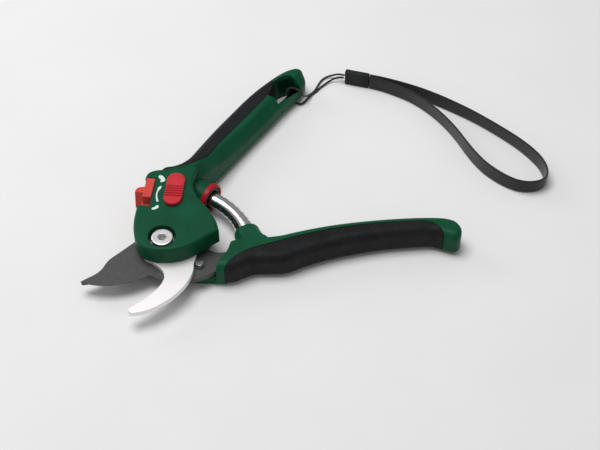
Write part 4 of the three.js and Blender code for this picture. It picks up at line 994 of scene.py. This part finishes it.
def add_selector():
    """The opening selector: a bar with half-round ends and a neck through its slot.

    Five deep thumb grooves and a shallow one run across it, each half an ellipse in section."""
    bottom, top = 24.7, 26.8
    cap = plate("cap", turned_plan(stadium(10.2, 24), *SELECTOR_SEAT),
                edge_profile(bottom, top, 0.1, 0.9, 7))
    turn = np.linspace(0, math.pi, 9)
    groove = np.stack([0.52 * np.cos(turn), -0.62 * np.sin(turn)], 1)

    def groove_tool(y, depth):
        """One groove across the cap, its section stretched by depth."""
        section = np.vstack([[[0.62, 0.6]], groove * [1, depth], [[-0.62, 0.6]]])
        ends = np.array([-8.0, 8.0])
        plan = turned_plan([[x, y + d] for x in ends for d in section[:, 0]], *SELECTOR_SEAT)
        height = np.tile(section[:, 1] + top, 2)
        return skin("groove", np.column_stack([plan, height]).reshape(2, -1, 3))

    steps = [("cut", groove_tool(y, 1.35)) for y in (-5.9, -4.1, -2.3, -0.5, 1.3)]
    steps += [("cut", groove_tool(6.0, 0.35))]
    steps += [("join", box_solid((-2.2, -4.6, 14.4), (2.2, 4.6, 25.4), *SELECTOR_SEAT))]
    return piece(combine(cap, *steps), "selector_cap", "selector", RED, ["selector_button"],
                 sharp=30)


# ------------------------------------------------------------------ spring
SPRING_TURNS = 8
STRIP_WIDTH = 6.6
STRIP_THICKNESS = 0.34
TILTS = (0.06, 0.17)  # lean of the strip over its neighbour, at the small and the large end


def add_spring():
    """A volute spring: a flat strip wound on a cone whose axis is bent along the spring circle.

    At turn angle t the strip's middle lies at a polar angle that falls from the collar's socket to
    the cup's, faster at first, at a radius that grows slowly and then faster to the large end. The
    section is an oblong, strip width along the axis and strip thickness across it, with eased
    corners, tilted so that each turn's edge stands over its neighbour."""
    turn = np.linspace(0, SPRING_TURNS * 2 * math.pi, SPRING_TURNS * 56 + 1)
    share = turn / turn[-1]
    depth = math.degrees((SOCKET_DEPTH - 1.3) / SPRING_CIRCLE)
    margin = math.degrees(STRIP_WIDTH / 2 / SPRING_CIRCLE)
    first, last = COLLAR_ANGLE + depth - margin, CUP_ANGLE - depth + margin
    angle = first + (last - first) * (1.3 * share - 0.3 * share**2)
    radius = 4.15 + 0.2 * share + 0.4 * share**4
    tilt = TILTS[0] + (TILTS[1] - TILTS[0]) * share**2
    w, h, e = STRIP_WIDTH / 2, STRIP_THICKNESS / 2, 0.09
    section = np.array([[-w + e, -h], [0, -h], [w - e, -h], [w, -h + e], [w, h - e], [w - e, h], [0, h],
                        [-w + e, h],
                        [-w, h - e], [-w, -h + e]])
    theta = np.radians(angle)[:, None] + section[None, :, 0] / SPRING_CIRCLE
    reach = radius[:, None] + section[None, :, 1] + tilt[:, None] * section[None, :, 0]
    out = SPRING_CIRCLE + reach * np.cos(turn)[:, None]
    points = np.stack([out * np.cos(theta), out * np.sin(theta),
                       SPRING_HEIGHT + reach * np.sin(turn)[:, None]], -1)
    spring = skin("spring", points)
    spring.name = spring.data.name = "wound_spring"
    spring.data.materials.append(SPRING_STEEL)
    spring.data.shade_smooth()
    spring.data.set_sharp_from_angle(angle=math.radians(30))
    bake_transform(spring)
    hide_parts("volute_spring")


# ------------------------------------------------------------------ printed marks
def ribbon(points, widths):
    """A flat band along a smooth line, as wide as given at each point: a closed plan outline."""
    path = smooth_path(np.column_stack([points, widths]), 0.3)
    normal = leftward(unit(np.gradient(path[:, :2], axis=0))) * path[:, 2:] / 2
    return np.vstack([path[:, :2] - normal, (path[:, :2] + normal)[::-1]])


def add_marks():
    """Closed-blade sign, curved arrow and open-blade sign in thin ink on the head's top."""
    closed = smooth_path([[-4.9, 44.9], [-4.0, 45.5], [-2.6, 45.0], [-1.4, 43.2], [-0.9, 41.6],
                          [-1.8, 40.5],
                          [-3.5, 40.2], [-3.6, 41.1], [-3.3, 42.0], [-4.4, 43.2]], 0.3, closed=True)[::-1]
    opened = smooth_path([[-7.0, 19.3], [-6.8, 20.3], [-5.4, 21.3], [-4.1, 22.5], [-3.3, 22.0],
                          [-3.4, 20.6],
                          [-4.6, 19.6], [-6.1, 19.1]], 0.3, closed=True)[::-1]
    arrow = ribbon([[-2.8, 37.2], [-3.7, 35.6], [-4.6, 33.2], [-5.0, 30.6], [-4.8, 28.0], [-4.1, 25.3]],
                   [0.3, 1.6, 0.8, 0.75, 0.9, 1.2])
    for name, loop in (("closed_sign", closed), ("arrow_sign", arrow), ("open_sign", opened)):
        piece(plate(name, loop, [(0, HEAD_TOP - 0.1), (0, HEAD_TOP + 0.03)]), name, "root", INK)


add_upper_shell()
add_upper_grip()
add_cover()
add_collar()
add_cutting_blade()
add_hook()
add_bolt()
add_lower_shell()
add_lower_grip()
add_latch()
add_selector()
add_spring()
add_marks()

KEPT = {"counter_blade_pin_1": PLATED, "counter_blade_pin_2": PLATED, "pivot_washer": PLATED,
        "pivot_bush": BRONZE,
        "pivot_nut": PLATED, "cover_screw_1": PLATED, "cover_screw_2": PLATED, "cover_screw_3": PLATED,
        "stop_pin": PLATED, "tang_rivet_1": PLATED, "tang_rivet_2": PLATED,
        "selector_carrier": BLACK_PLASTIC}
for node_name, finish in KEPT.items():
    mesh = NODES[node_name].data
    mesh.materials.clear()
    mesh.materials.append(finish)


# ------------------------------------------------------------------ floor and light
def add_floor():
    """A pale paper sweep: one large flat face under the part."""
    mesh = bpy.data.meshes.new("paper_floor")
    half, level = 6.0, -0.0002
    corners = [(-half, -half), (half, -half), (half, half), (-half, half)]
    mesh.from_pydata([(x, y, level) for x, y in corners], [], [[0, 1, 2, 3]])
    made, tree, shader, place = new_finish("white_paper", "#EFEFEF", 0.95, Specular_IOR_Level=0.1)
    mottle(tree, shader, place, "#EEEEEE", "#F0F0F0", 60)
    mesh.materials.append(made)
    floor = bpy.data.objects.new("paper_floor", mesh)
    bpy.context.scene.collection.objects.link(floor)


def add_light(name, place, target, size, power):
    """A square softbox at a point, aimed at another; size in metres and power in watts."""
    data = bpy.data.lights.new(name, "AREA")
    data.shape, data.size, data.size_y, data.energy = "RECTANGLE", size, size, power
    light = bpy.data.objects.new(name, data)
    light.location = place
    light.rotation_euler = aim(place, target)
    bpy.context.scene.collection.objects.link(light)


def add_world(strength):
    """An even white surround."""
    world = bpy.data.worlds.new("studio")
    bpy.context.scene.world = world
    world.use_nodes = True
    background = world.node_tree.nodes["Background"]
    background.inputs["Color"].default_value = (1, 1, 1, 1)
    background.inputs["Strength"].default_value = strength


add_floor()
add_world(0.3)
add_light("overhead_softbox", (-0.2, 0.12, 1.25), (0.06, 0.04, 0), 0.75, 11)
add_light("back_left_softbox", (-0.7, 0.6, 0.5), (0.05, 0.05, 0), 0.4, 1.5)
